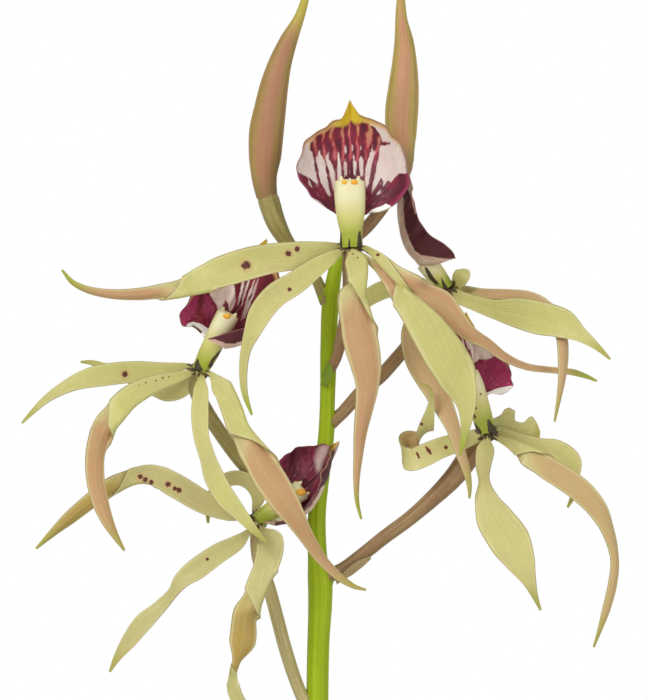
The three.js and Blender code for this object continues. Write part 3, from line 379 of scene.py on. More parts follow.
        [36.8, -11.5, 378.5, 3.6, 50], [37.2, -12, 374.5, 5.4, 20], [39, -12.5, 370, 8.2, 5],
        [42, -13, 365.5, 9, 0], [44.5, -13, 361, 6.8, 5], [46.3, -13, 357, 3.8, 25],
        [47.8, -12.5, 353, 1.6, 35], [49, -12, 350, 0.5, 30],
    ],
    "flower_e_right_petal": [
        [39.5, -7.6, 387.7, 1.3, 0], [42, -8.6, 386.5, 2.1, 0], [44.2, -9.4, 385.2, 3.2, 60],
        [46.4, -9.8, 383.6, 4.6, 140], [50, -10.2, 381.4, 5, 170], [54, -10.4, 379, 5.3, 175],
        [58, -10.5, 376, 5.2, 175], [61.6, -10.3, 372, 4.4, 170], [64, -10, 367, 3.1, 150],
        [65.3, -9.5, 361, 2.1, 145], [64.9, -9, 356, 2.2, 150], [63.6, -8.5, 350.5, 2, 155],
        [62, -8, 345.5, 1.1, 155], [60.7, -7.5, 341.8, 0.5, 155],
    ],
    "flower_e_right_sepal": [
        [39.8, -5.2, 389.4, 1.6, 0], [44, -6, 387, 3.8, 0], [49, -6.4, 385, 5.4, 0],
        [52.4, -6.4, 384.2, 6.2, 0], [55, -6.2, 382.4, 6, 0], [56, -5.8, 379, 3.4, 0],
        [56.3, -5.4, 375.4, 1.5, 0], [55, -5.4, 372.4, 0.5, 0],
    ],
    "flower_e_left_sepal": [
        [39, -4.6, 390.3, 3.4, 0], [40.6, -4.4, 390.2, 6.2, 0], [41.8, -4.3, 390.2, 8.6, 0],
        [42.2, -4.3, 390, 6.4, 0], [42.6, -4.3, 389.8, 3.8, 0], [44.6, -4.5, 388.9, 4.6, 0],
        [46.5, -4.7, 388.5, 8, 0], [48, -4.6, 388.3, 5.2, 0], [48.9, -4.4, 388.2, 1.6, 0],
    ],
}

# Where blades turn over: the station, the way they turn, and by how many stations a margin leads
ROLLS = {
    "flower_a_left_sepal": [(8.8, -1, 1.1)],
    "flower_a_dorsal_sepal": [(2.85, -1, 2.5)],
    "flower_a_right_petal": [(6.4, 1, -3.4)],
    "flower_a_right_sepal": [(3.2, 1, -3.6)],
    "flower_c_left_petal": [(4.5, -1, 2.8)],
    "flower_c_right_petal": [(3.8, -1, 1.8)],
    "flower_d_left_sepal": [(6.1, -1, 1.4)],
    "flower_d_right_sepal": [(4.7, -1, 1.3), (8.9, -1, 0.7)],
    "flower_e_right_petal": [(2.9, -1, 2)],
}

# Where the parts of each flower join, and how far from there the back of a column is dark
HEARTS = {
    "a": (7.5, -12.2, 429.2),
    "b": (28.6, 9.6, 420.5),
    "c": (-25.8, -10.2, 402.4),
    "d": (-13, -8.2, 369.4),
    "e": (37.3, -6.8, 388.9),
}
JOINT_REACH = 2.7

# Columns: x, y, z, width and depth
COLUMNS = {
    "flower_a_column": [
        [7.5, -12, 430.3, 4.8, 4], [7.5, -12, 432.4, 4.6, 3.6], [7.4, -12, 435, 5.4, 3.8],
        [7.3, -12, 438, 6.2, 4], [7.2, -12, 441.4, 6.5, 4], [7.2, -12, 444.4, 6.2, 3.6],
    ],
    "flower_b_column": [
        [27.6, 9.6, 421.9, 3.8, 3.6], [25.8, 9, 424.2, 4.4, 3.8], [24, 8.4, 426.6, 4.6, 3.8],
    ],
    "flower_c_column": [
        [-24.9, -10.2, 404, 3.8, 3.6], [-23.9, -10.6, 406, 4.2, 3.6], [-22.3, -11, 409.2, 4.4, 3.8],
        [-20.7, -11.4, 412.4, 4.8, 4], [-19.3, -11.8, 415.2, 4.8, 3.6],
    ],
    "flower_d_column": [
        [-11.6, -8, 370.6, 3.8, 3.6], [-9.8, -8.2, 371.8, 4, 3.6], [-6.4, -8.6, 374.2, 4.4, 3.8],
        [-3, -9, 376.6, 4.6, 3.6],
    ],
    "flower_e_column": [
        [36.8, -6.9, 390.4, 4, 3.8], [36.1, -7.3, 393, 4.3, 3.8], [35.1, -8, 396.5, 4.4, 3.8],
        [34.1, -8.8, 399.5, 4.6, 3.8], [32.9, -9.6, 402, 4.6, 3.6],
    ],
}

# A column's teeth: side, how far forward, length and breadth
COLUMN_TEETH = [(-1, 0.3, 2.3, 1.8), (0, 0.9, 1.8, 1.2), (1, 0.3, 2.3, 1.8)]

# Anther caps: how far aside each one sits, and its radius
ANTHERS = {
    "a": [(-0.9, 0.8), (1.1, 0.7)],
    "b": [],
    "c": [(0, 0.9)],
    "d": [(-0.4, 1.15)],
    "e": [(0, 0.8)],
}

# Dark marks of the columns, as outlines in the photograph's pixels
COLUMN_MARKS = {
    "a": [
        [(339.6, 232), (341.4, 234), (342.6, 249), (337.6, 249)],
        [(348.4, 239), (349.8, 240), (350.4, 249), (347.8, 249)],
        [(358, 233), (360.4, 231), (362.4, 249), (356.6, 249)],
    ],
    "b": [
        [(424.6, 266), (428, 268), (434.5, 277.5), (440, 284), (436.5, 284.4), (430, 279), (426.5, 273)],
        [(441, 276), (446, 284), (452, 292), (444, 292)],
    ],
    "c": [
        [(226.6, 345.6), (220, 350.6), (215, 355.5), (211.8, 359.5), (208.2, 367.4), (213.4, 368.4),
         (214.4, 360.8), (221.6, 353.4), (227, 348)],
        [(198.3, 357.5), (195, 364.7), (194.3, 371.3), (204.6, 371.3), (201.6, 366.4), (199.8, 362.1)],
    ],
    "e": [
        [(470.8, 400.5), (473, 401.5), (476.6, 408.5), (475, 410)],
        [(470, 409.5), (472, 410), (476, 417.4), (474.4, 418.8)],
        [(472.2, 423), (475, 423), (481, 431), (480.4, 436), (474, 435)],
        [(486.4, 419), (489, 419.4), (496.8, 431), (495, 436), (487.4, 432)],
        [(479, 393), (480.8, 393), (480.8, 394.8), (479, 394.8)],
    ],
}

# Lips: three lines, each from one end of the throat round to the other
LIP_COLUMNS = 200
LIP_ROWS = 50
LIPS = {
    "flower_a_lip": {
        "throat": [[4.8, -8.8, 436.3], [7.4, -8.4, 436.8], [10, -8.8, 436.3]],
        "belly": [
            [4.5, -9, 436.7], [-1.2, -8.2, 441.2], [-1, -4.6, 449], [7.3, -1.8, 450.5], [15.8, -4.6, 449],
            [16.6, -8.2, 441.2], [10.3, -9, 436.7],
        ],
        "rim": [
            [4.2, -9.2, 436.9], [0.5, -11.6, 439.3], [-3, -13, 443], [-4.3, -12.6, 447], [-2.6, -11, 452.2],
            [0.8, -9.6, 455.4], [4.4, -8.6, 457.4], [7.2, -8.6, 461.8], [10, -8.6, 458.6],
            [14.4, -9.6, 456.3], [17.6, -10.8, 453], [19.6, -12, 448], [20, -13, 443], [16.5, -12, 438.4],
            [10.6, -9.2, 436.9],
        ],
    },
    "flower_b_lip": {
        "throat": [[26.4, 5, 426], [21.8, 8.4, 425.4], [26, 13.4, 425.8]],
        "belly": [
            [28.4, 4.6, 426.7], [20.4, 4.2, 426.6], [15.9, 5.6, 430.6], [14.9, 8.5, 435],
            [17.6, 12.5, 431.5], [21.5, 14.8, 428.8], [27, 13.6, 427],
        ],
        "rim": [
            [30.6, 5.6, 427.2], [29.9, 4.8, 428.7], [27.9, 4, 430.5], [24.8, 3.6, 432.5],
            [22.7, 3.8, 435.4], [21.6, 4.6, 438.6], [21, 5.6, 442], [19.8, 8.5, 447.5], [20.4, 12, 441.5],
            [20.9, 14.5, 437.6], [22, 16, 434.6], [23.9, 16.4, 432.2], [26, 15.6, 430.3], [28, 14.4, 428.6],
            [29, 12.6, 427],
        ],
    },
    "flower_c_lip": {
        "throat": [[-25.2, -9.4, 410.2], [-22.6, -7.4, 409], [-19.4, -9.2, 407.6]],
        "belly": [
            [-25.4, -9.5, 410.4], [-27.5, -8, 414.6], [-22.5, -4, 420], [-15.5, -2, 419],
            [-12.6, -4.5, 413.6], [-14.4, -12.6, 407], [-18.4, -15.8, 406.4],
        ],
        "rim": [
            [-25.4, -9.8, 411.2], [-27.2, -11.6, 412.5], [-29, -12.9, 412], [-29.9, -12.4, 414.6],
            [-27.2, -10.8, 419], [-22.5, -8.8, 423], [-16.5, -7.2, 428], [-11, -7.5, 431.4],
            [-9.6, -8.2, 427], [-8.4, -9.5, 422.5], [-10.2, -11.6, 417.2], [-12.6, -14.4, 413.2],
            [-14.8, -15.8, 412.1], [-19.6, -16.2, 410.8], [-24, -15.6, 409.4],
        ],
    },
    "flower_d_lip": {
        "throat": [[-10, -7.4, 376.2], [-7.6, -5.4, 374], [-5.6, -7.6, 370.2]],
        "belly": [
            [-10.1, -7.3, 376.8], [-7.5, -3, 379.5], [-3.5, -0.5, 381], [3, -2.5, 379.2], [4.5, -6.5, 377],
            [0.3, -9.5, 371.2], [-7.6, -11.4, 367.4],
        ],
        "rim": [
            [-10.3, -7.2, 377.4], [-10.2, -6.2, 379.4], [-9, -4.8, 381.6], [-7, -3.8, 383.8],
            [-4.6, -3.4, 385.4], [-1.4, -3.8, 386], [2, -5, 386.3], [4.9, -7, 387], [3.4, -9.4, 384.8],
            [2, -11.2, 382], [0.8, -12.4, 379], [0, -13, 376], [-1.6, -13.2, 373], [-5, -13, 370],
            [-11.6, -12.6, 369.4],
        ],
    },
    "flower_e_lip": {
        "throat": [[32.6, -6.4, 394.6], [35.2, -4.8, 396], [37.6, -6.6, 397.4]],
        "belly": [
            [32.3, -6.5, 395.2], [30, -5, 400.5], [30.6, -2.4, 407], [33.8, -1, 407], [38, -2.6, 404],
            [40.5, -5.4, 400.6], [38.2, -6.8, 397.6],
        ],
        "rim": [
            [32, -6.6, 395.8], [30.6, -7.6, 397], [29.6, -8.2, 399.4], [29, -8.2, 402.6], [28.4, -7.8, 406],
            [28.4, -7, 409.4], [30, -6.2, 412.8], [32.7, -5.6, 415.4], [35.4, -6.4, 411.2],
            [38.6, -7.2, 407.4], [41.2, -8.2, 404.6], [42.6, -9, 401.6], [42.6, -9.4, 398.9],
            [41.2, -9, 397.5], [38.7, -7.2, 397.4],
        ],
    },
}

# The lips' patterns: pale, rosy and warm places and cream hems of the inner face, and pale places
# of the back. Each is an outline in the photograph's pixels.
LIP_KINDS = ("pale", "rosy", "hem", "warm", "back")
LIP_AREAS = {
    "a": {
        "pale": [
            [(300, 146), (304, 139), (310, 131), (320, 125), (323, 127), (316, 136), (313, 143),
             (312, 152), (314, 160), (315, 170), (317, 178), (319, 187), (315, 184), (310, 179),
             (304, 176), (296, 172), (296, 160)],
            [(308, 178), (310, 181), (313, 190), (309, 185)],
            [(316, 157), (319, 149), (322, 156), (325, 164), (326, 172), (327.5, 180), (329.5, 188),
             (331, 197), (328, 196), (323.5, 188), (320, 180), (318, 170), (316, 162)],
            [(325.6, 158), (328, 152), (330.4, 159), (333, 166), (334.5, 172), (335.5, 180), (334.5, 190),
             (334, 196), (332.5, 188), (331, 180), (328.5, 170), (326.5, 164)],
            [(337.4, 158), (338.4, 148), (340, 157), (341, 165), (341.5, 174), (340, 181), (337.5, 181),
             (337, 170)],
            [(344, 154), (345.4, 145), (346.8, 154), (347.2, 165), (346.6, 175), (344.5, 178), (343, 168),
             (343.3, 160)],
            [(351.8, 150), (352, 138), (354, 148), (356, 158), (356.7, 168), (355.7, 178), (353.3, 173),
             (352.5, 160)],
            [(359.3, 155), (361, 146), (362.5, 155), (363.2, 166), (363, 177), (360, 177), (359, 166)],
            [(369.6, 150), (373, 140), (375, 147), (374, 156), (372, 165), (370, 175), (369, 184),
             (366, 189), (364.5, 180), (365.5, 170), (367.5, 160)],
            [(379, 152), (380, 147), (389, 145), (390, 143.4), (382, 142), (379, 135), (375, 129),
             (368, 124), (392, 122), (404, 136), (414, 152), (414, 172), (404, 174.5), (398, 174),
             (395, 178), (391, 183), (388, 181), (386, 184), (382, 188), (383, 182), (381, 177),
             (379, 181), (376, 187), (371, 196), (372.5, 186), (375, 174), (376.5, 164), (379, 156)],
            [(376, 194), (381, 190), (380, 193.5), (377, 196.5)],
        ],
        "hem": [
            [(309, 197), (318, 201), (324, 206), (330, 212), (337, 217), (333, 222), (320, 216),
             (306, 206)],
            [(364, 217), (372, 210), (380, 207), (386, 204), (391, 207), (397, 207), (404, 206),
             (404, 218), (384, 220), (364, 221)],
        ],
        "rosy": [
            [(393, 206), (402, 200), (408, 190), (411, 178), (414, 176), (414, 198), (404, 212),
             (392, 210)],
        ],
        "warm": [
            [(306, 152), (308, 138), (320, 126), (345, 116), (358, 116), (372, 124), (381, 134),
             (382, 146), (376, 156), (360, 162), (340, 162), (322, 160)],
        ],
    },
    "b": {
        "back": [
            [(404, 196), (404, 209), (405.6, 226), (408.4, 235), (411.6, 243.6), (416, 251), (422, 254.8),
             (431.4, 255.8), (437.9, 257.4), (450.9, 258.4), (459, 256.6), (459, 266), (426, 272),
             (406, 264), (394, 242), (394, 196)],
            [(405, 178), (412, 178), (416, 196), (418, 214), (415, 214), (411.5, 199), (407, 186)],
        ],
    },
    "c": {
        "pale": [
            [(208, 290), (216, 285), (234, 280), (235, 290), (236, 300), (235, 305), (231, 311.5),
             (229, 311), (228.5, 304), (226, 300.5), (223, 305), (223, 312), (219, 313), (217, 306),
             (214, 300), (211, 296)],
            [(243, 280), (245, 280), (240.4, 301), (236.2, 311), (238.4, 300)],
            [(248.4, 280), (250.2, 280), (245, 296.6), (241, 309), (242.8, 296)],
            [(253.6, 280), (255.4, 280), (250.2, 295.4), (244.8, 314), (241.2, 321), (243, 313),
             (248, 294.6)],
            [(257.6, 279), (259.2, 279), (255.4, 292.8), (250.2, 306), (244, 320), (247.6, 305),
             (253.2, 292)],
        ],
        "rosy": [
            [(176, 300), (192, 288), (200, 292), (200, 306), (196, 318), (189, 321), (187, 330),
             (178, 330)],
            [(204, 292), (213, 300), (216, 313), (208, 324), (202, 312)],
        ],
        "hem": [
            [(187, 325.4), (189.4, 323), (193, 321.8), (200.3, 323.2), (209, 328.8), (214, 336),
             (196, 340), (187, 334)],
        ],
        "back": [
            [(200, 338.6), (216, 339.4), (226.6, 343), (234.5, 343.6), (242.4, 340.6), (250, 337),
             (252, 352), (229, 352), (200, 346)],
        ],
    },
    "d": {
        "pale": [
            [(315.5, 451.7), (319, 445), (330, 444), (327.5, 453.2), (323.2, 461.1), (320.3, 469.1),
             (317.4, 473), (315.3, 466.2), (314.3, 457.5)],
            [(304.6, 509), (312.4, 497.4), (311.4, 501), (306, 510)],
        ],
        "rosy": [
            [(300.5, 456), (304.5, 456), (306, 476), (302, 475)],
            [(307.5, 449), (310, 449), (312, 473), (309.5, 475)],
            [(312.4, 450), (315, 450), (315.5, 470), (313.5, 474)],
        ],
        "back": [
            [(262, 514), (276.5, 514), (275, 530), (262, 530)],
            [(305.8, 519), (302, 511), (307, 504.5), (314.3, 499), (318, 492.8), (320, 488), (323, 484.5),
             (330, 482), (328.5, 491), (319, 506), (309.5, 519)],
        ],
    },
    "e": {
        "pale": [
            [(469.2, 332), (476.6, 331), (500, 354), (493.1, 356.8), (485.8, 359.6), (478.4, 359.6),
             (472.9, 364.2), (471, 355), (467.3, 340.3)],
            [(460.5, 326), (461.8, 326), (467, 340), (469, 350), (465, 340)],
            [(456, 326), (457, 326), (463, 340), (466, 352), (461, 340)],
        ],
        "hem": [
            [(484, 393), (490, 391), (495, 388.6), (500.5, 387.2), (507, 386), (514, 385), (514, 400),
             (484, 400)],
        ],
        "rosy": [
            [(472, 366), (484, 358), (500, 352), (518, 362), (520, 392), (500, 388), (484, 394),
             (478, 378)],
        ],
    },
}

# A lip's maroon, wine, magenta and blush, and how many warm streaks it has. Flowers C and E have
# the bright lips.
DUSKY_LIP = ((92, 24, 42), (126, 34, 56), (168, 56, 104), (224, 209, 200))
BRIGHT_LIP = ((110, 25, 44), (144, 38, 60), (176, 58, 104), (255, 236, 226))
LIP_STRIPES = 23

# Sepals and petals: pale and dull inside, outside, blush and deep blush
TEPAL_COLOURS = {
    "a": ((199, 193, 119), (194, 185, 116), (206, 194, 136), (200, 152, 112), (188, 138, 98)),
    "b": ((204, 200, 124), (196, 190, 116), (200, 190, 128), (198, 160, 118), (188, 150, 104)),
    "c": ((201, 196, 118), (196, 189, 120), (206, 190, 132), (200, 152, 110), (190, 142, 98)),
    "d": ((192, 183, 122), (188, 179, 118), (198, 178, 108), (182, 150, 72), (172, 140, 62)),
    "e": ((206, 198, 128), (202, 192, 126), (204, 192, 134), (200, 170, 118), (194, 158, 108)),
}
GREEN_TIP = (156, 170, 40)
TAN_TIP = (174, 168, 80)
WAXY = 0.35

# Dark flecks on the sepals and petals: x, z and radius. Each is drawn as a faint warm ring and a
# dark spot, with a spread, a strength and a colour.
FLECKS = {
    "a": [
        (-15.5, 425.5, 0.9), (-6.2, 428.1, 0.55), (-4.3, 429.1, 0.5), (-6, 420.2, 0.4), (7.9, 428, 0.16),
        (8.9, 427.2, 0.18), (10.8, 428.1, 0.3), (13.3, 427.8, 0.32),
    ],
    "b": [],
    "c": [
        (-42, 401.7, 0.6), (-38.8, 399.3, 0.13), (-37.4, 399.9, 0.17), (-35.2, 400.3, 0.14),
        (-33.7, 400.9, 0.17), (-32.4, 401.2, 0.14),
    ],
    "d": [
        (-38.7, 379.2, 0.48), (-37.6, 378.6, 0.5), (-36.3, 378.1, 0.44), (-32.6, 377.6, 0.5),
        (-31.1, 376.6, 0.42), (-30.2, 376.3, 0.5), (-24, 361.2, 0.34), (-14.6, 359.4, 0.24),
    ],
    "e": [
        (28.3, 385.7, 0.36), (24, 385.6, 0.26), (24.3, 385.2, 0.32), (24.6, 384.8, 0.32),
        (24.9, 384.4, 0.26), (21.9, 384.4, 0.2), (22.1, 384, 0.26), (22.3, 383.5, 0.24), (22.9, 390.8, 0.3),
    ],
}
FLECK_LAYERS = [(1.9, 0.3, (206, 132, 98)), (1.15, 0.95, (82, 24, 24))]


# Shapes


def unit(vectors):
    return vectors / np.maximum(np.linalg.norm(vectors, axis=-1, keepdims=True), 1e-9)


def smooth_line(points, at):
    """Points on the rounded line through a list of points, where at counts along the list."""
    points = np.asarray(points, float)
    padded = np.vstack([2 * points[0] - points[1], points, 2 * points[-1] - points[-2]])
    before = np.clip(np.floor(at).astype(int), 0, len(points) - 2)
    part = (at - before)[:, None]
    p0, p1, p2, p3 = (padded[before + k] for k in range(4))
    d0, d1, d2 = (
        np.sqrt(np.maximum(np.linalg.norm(b - a, axis=1), 1e-6))[:, None]
        for a, b in ((p0, p1), (p1, p2), (p2, p3))
    )
    lead = ((p1 - p0) / d0 - (p2 - p0) / (d0 + d1) + (p2 - p1) / d1) * d1
    trail = ((p2 - p1) / d1 - (p3 - p1) / (d1 + d2) + (p3 - p2) / d2) * d1
    bend = 3 * (p2 - p1) - 2 * lead - trail
    return p1 + lead * part + bend * part**2 + (2 * (p1 - p2) + lead + trail) * part**3


def smooth_value(values, at):
    """A number that passes through a list of numbers and never overshoots them."""
    values = np.asarray(values, float)
    step = np.diff(values)
    same = step[:-1] * step[1:] > 0
    slope = np.concatenate([step[:1], np.zeros(len(values) - 2), step[-1:]])
    slope[1:-1][same] = (2 * step[:-1] * step[1:])[same] / (step[:-1] + step[1:])[same]
    before = np.clip(np.floor(at).astype(int), 0, len(values) - 2)
    part = at - before
    start = values[before] * (1 + 2 * part) + slope[before] * part
    end = values[before + 1] * (3 - 2 * part) + slope[before + 1] * (part - 1)
    return start * (1 - part) ** 2 + end * part**2


def even_steps(points, step):
    """Counts along a list that lie a step apart, and the share of the whole length at each."""
    fine = np.linspace(0, len(points) - 1, 40 * len(points))
    gaps = np.linalg.norm(np.diff(smooth_line(points, fine), axis=0), axis=1)
    run = np.concatenate([[0], np.cumsum(gaps)])
    share = np.linspace(0, 1, max(8, int(run[-1] / step)) + 1)
    return np.interp(share * run[-1], run, fine), share


def frames_along(centres, looks):
    """The directions across and through at each point of a line, through being towards looks."""
    heading = unit(np.gradient(centres, axis=0))
    through = unit(looks - (looks * heading).sum(1, keepdims=True) * heading)
    return np.cross(through, heading), through


def look_of(turn, heading):
    """Where the inner face looks: turned about the path from the viewer, or given outright."""
    if not np.isscalar(turn):
        return unit(np.array(turn, float))
    towards = unit(VIEWER - VIEWER @ heading * heading)
    angle = math.radians(turn)
    return towards * math.cos(angle) + np.cross(heading, towards) * math.sin(angle)


def from_photo(pixels):
    """Places in the photograph, as x and z in millimetres where the stem stands."""
    across, down = np.array(pixels, float).T
    return np.stack([(across - MIDDLE_PIXEL) * PIXEL, UPPER_EDGE - down * PIXEL], -1)


def depth_in(outline, spots):
    """How far inside an outline each spot of the picture plane lies, below 0 outside it."""
    start = from_photo(outline)
    along = np.roll(start, -1, axis=0) - start
    away = spots[:, None] - start
    share = np.clip((away * along).sum(-1) / (along**2).sum(-1), 0, 1)
    gap = np.linalg.norm(away - share[..., None] * along, axis=-1).min(axis=1)
    level = spots[:, 1:]
    crossed = (start[:, 1] > level) != (start[:, 1] + along[:, 1] > level)
    rise = np.where(along[:, 1] == 0, 1e-9, along[:, 1])
    side = start[:, 0] + (level - start[:, 1]) * along[:, 0] / rise
    inside = (crossed & (spots[:, :1] < side)).sum(axis=1) % 2 == 1
    return np.where(inside, gap, -gap)


def corners_of(mesh):
    """A finished mesh's corners, in millimetres."""
    return np.array([corner.co[:] for corner in mesh.vertices]) / MM


def draw_areas(mesh, name, outlines, anyway=False):
    """Stores how deep each corner of a mesh lies in the outlines, from -2 to 2 mm, and 1 for the
    corners that are marked anyway."""
    corners = corners_of(mesh)[:, (0, 2)]
    depths = [depth_in(outline, corners) for outline in outlines] or [np.full(len(corners), -2.0)]
    depth = np.where(anyway, 1, np.clip(np.max(depths, axis=0), -2, 2)).astype(np.float32)
    mesh.attributes.new(name, "FLOAT", "POINT").data.foreach_set("value", depth)


def soften(corners, reach=1.4, steps=4):
    """The same outline with its corners rounded off."""
    rounded = []
    for a, b, c in zip(corners, corners[1:], corners[2:]):
        a, b, c = (np.array(corner, float) for corner in (a, b, c))
        into = b + unit(a - b) * min(reach, np.linalg.norm(a - b) / 2.2)
        out = b + unit(c - b) * min(reach, np.linalg.norm(c - b) / 2.2)
        for t in np.linspace(0, 1, steps + 1):
            rounded.append(into * (1 - t) ** 2 + 2 * b * t * (1 - t) + out * t**2)
    return np.array(rounded)


def circle(sides):
    """The angles of a ring's corners."""
    return np.arange(sides)[None] / sides * 2 * np.pi


class Piece:
    """Gathers closed surfaces in millimetres, then makes them one mesh that stands for a node."""

    def __init__(self, node):
        self.node = node
        self.points, self.faces, self.places = [], [], []
        self.sides, self.finishes, self.flushes = [], [], []

    def add(self, points, faces, places, side, finish, flush=None):
        """places holds one spot of the flat pattern for each corner of each face."""
        start = len(self.points)
        self.points.extend(points.tolist())
        self.flushes.extend([0.0] * len(points) if flush is None else flush)
        self.faces.extend([[start + k for k in face] for face in faces])
        self.places.extend(places)
        self.sides.extend(side)
        self.finishes.extend([finish] * len(faces))

    def sheet(self, inner, outer, across, along, flush=None):
        """Closed thin sheet between two grids of points. side is 0 on the inner face, 1 outside,
        and flush says how pink each point of the outer grid is."""
        rows, columns = inner.shape[:2]
        whole = rows * columns
        grid = np.arange(whole).reshape(rows, columns)
        corners = [grid[:-1, :-1], grid[:-1, 1:], grid[1:, 1:], grid[1:, :-1]]
        front = np.stack(corners, -1).reshape(-1, 4)
        rim = np.concatenate([grid[0], grid[1:, -1], grid[-1, -2::-1], grid[-2:0:-1, 0]])
        after = np.roll(rim, -1)
        wall = np.stack([after, rim, rim + whole, after + whole], -1)
        faces = np.concatenate([front, front[:, ::-1] + whole, wall])
        spots = np.stack(np.meshgrid(across, along), -1).reshape(-1, 2)
        places = np.concatenate([spots, spots])[faces].reshape(-1, 2).tolist()
        side = [0.0] * len(front) + [1.0] * len(front) + [0.5] * len(wall)
        both = np.concatenate([inner.reshape(-1, 3), outer.reshape(-1, 3)])
        pink = None if flush is None else [0.0] * whole + flush.ravel().tolist()
        self.add(both, faces.tolist(), places, side, 0, pink)

    def barrel(self, rings, along, finish=0):
        """Closed round body through rings of points, with a cap at each end."""
        rows, sides = rings.shape[:2]
        row, side = np.meshgrid(np.arange(rows - 1), np.arange(sides), indexing="ij")
        here, after = row * sides, (side + 1) % sides
        above = here + sides
        hull = np.stack([here + side, here + after, above + after, above + side], -1)
        u = np.stack([side, side + 1, side + 1, side], -1) / sides
        v = np.stack([along[row], along[row], along[row + 1], along[row + 1]], -1)
        faces = hull.reshape(-1, 4).tolist()
        places = np.stack([u, v], -1).reshape(-1, 2).tolist()
        for ring, centre in ((0, rows * sides), (rows - 1, rows * sides + 1)):
            for number in range(sides):
                corners = [ring * sides + (number + 1) % sides, ring * sides + number, centre]
                faces.append(corners if ring == 0 else corners[::-1])
                places.extend([[number / sides, along[ring]]] * 3)
        caps = np.stack([rings[0].mean(0), rings[-1].mean(0)])
        points = np.concatenate([rings.reshape(-1, 3), caps])
        self.add(points, faces, places, [0.0] * len(faces), finish)

    def mesh(self, *finishes):
        made = bpy.data.meshes.new(self.node)
        made.from_pydata((np.array(self.points) * MM).tolist(), [], self.faces)
        pattern = made.uv_layers.new(name="UVMap").data
        pattern.foreach_set("uv", np.array(self.places, np.float32).ravel())
        made.attributes.new("side", "FLOAT", "FACE").data.foreach_set("value", self.sides)
        made.attributes.new("flush", "FLOAT", "POINT").data.foreach_set("value", self.flushes)
        made.polygons.foreach_set("material_index", self.finishes)
        for finish in finishes:
            made.materials.append(finish)
        outwards = bmesh.new()
        outwards.from_mesh(made)
        bmesh.ops.recalc_face_normals(outwards, faces=outwards.faces)
        outwards.to_mesh(made)
        outwards.free()
        made.polygons.foreach_set("use_smooth", [True] * len(made.polygons))
        made.set_sharp_from_angle(angle=math.radians(SHARP_ANGLE))
        return made

    def make(self, *finishes):
        return stand_for(self.node, self.mesh(*finishes))


def put_in_scene(name, thing):
    holder = bpy.data.objects.new(name, thing)
    bpy.context.scene.collection.objects.link(holder)
    return holder


def stand_for(node, mesh):
    """Puts a finished mesh in the scene in place of its node, and returns the mesh."""
    piece = put_in_scene(node + "_grown", mesh)
    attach(piece, "root")
    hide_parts(node)
    return mesh


def finished_mesh(helper):
    """The mesh of a helper object after its modifiers."""
    return bpy.data.meshes.new_from_object(helper.evaluated_get(bpy.context.evaluated_depsgraph_get()))


def rolled_turns(stations, rolls, at, aside):
    """The turn of each strip of a blade, for rows at and strips aside. It turns over at one
    margin first."""
    turns = np.array([station[4] for station in stations], float)
    tilt = np.clip(np.where(turns > 90, turns - 180, turns), -MOST_TILT, MOST_TILT)
    turn = smooth_value(tilt, at)[:, None] + (180 if turns[0] > 90 else 0) + 0 * aside
    for place, way, lead in rolls:
        done = np.clip((at[:, None] + lead * aside - place) / (0.44 * abs(lead)) + 0.5, 0, 1)
        turn = turn + way * 180 * done**2 * (3 - 2 * done)
    return np.radians(turn)


def blade_frame(stations, rolls, points, at, centres, aside):
    """The directions sideways and towards at each row of a blade, and the turn of its strips."""
    if rolls:
        heading = unit(np.gradient(centres, axis=0))
        towards = unit(VIEWER - (heading @ VIEWER)[:, None] * heading)[:, None]
        turn = rolled_turns(stations, rolls, at, aside)[..., None]
        return np.cross(towards, heading[:, None]), towards, turn
    last = len(points) - 1
    headings = [unit(points[min(i + 1, last)] - points[max(i - 1, 0)]) for i in range(last + 1)]
    looks = np.array([look_of(station[4], way) for station, way in zip(stations, headings)])
    look = unit(np.stack([smooth_value(looks[:, k], at) for k in range(3)], 1))
    sideways, towards = (direction[:, None] for direction in frames_along(centres, look))
    return sideways, towards, np.zeros((len(at), len(aside), 1))


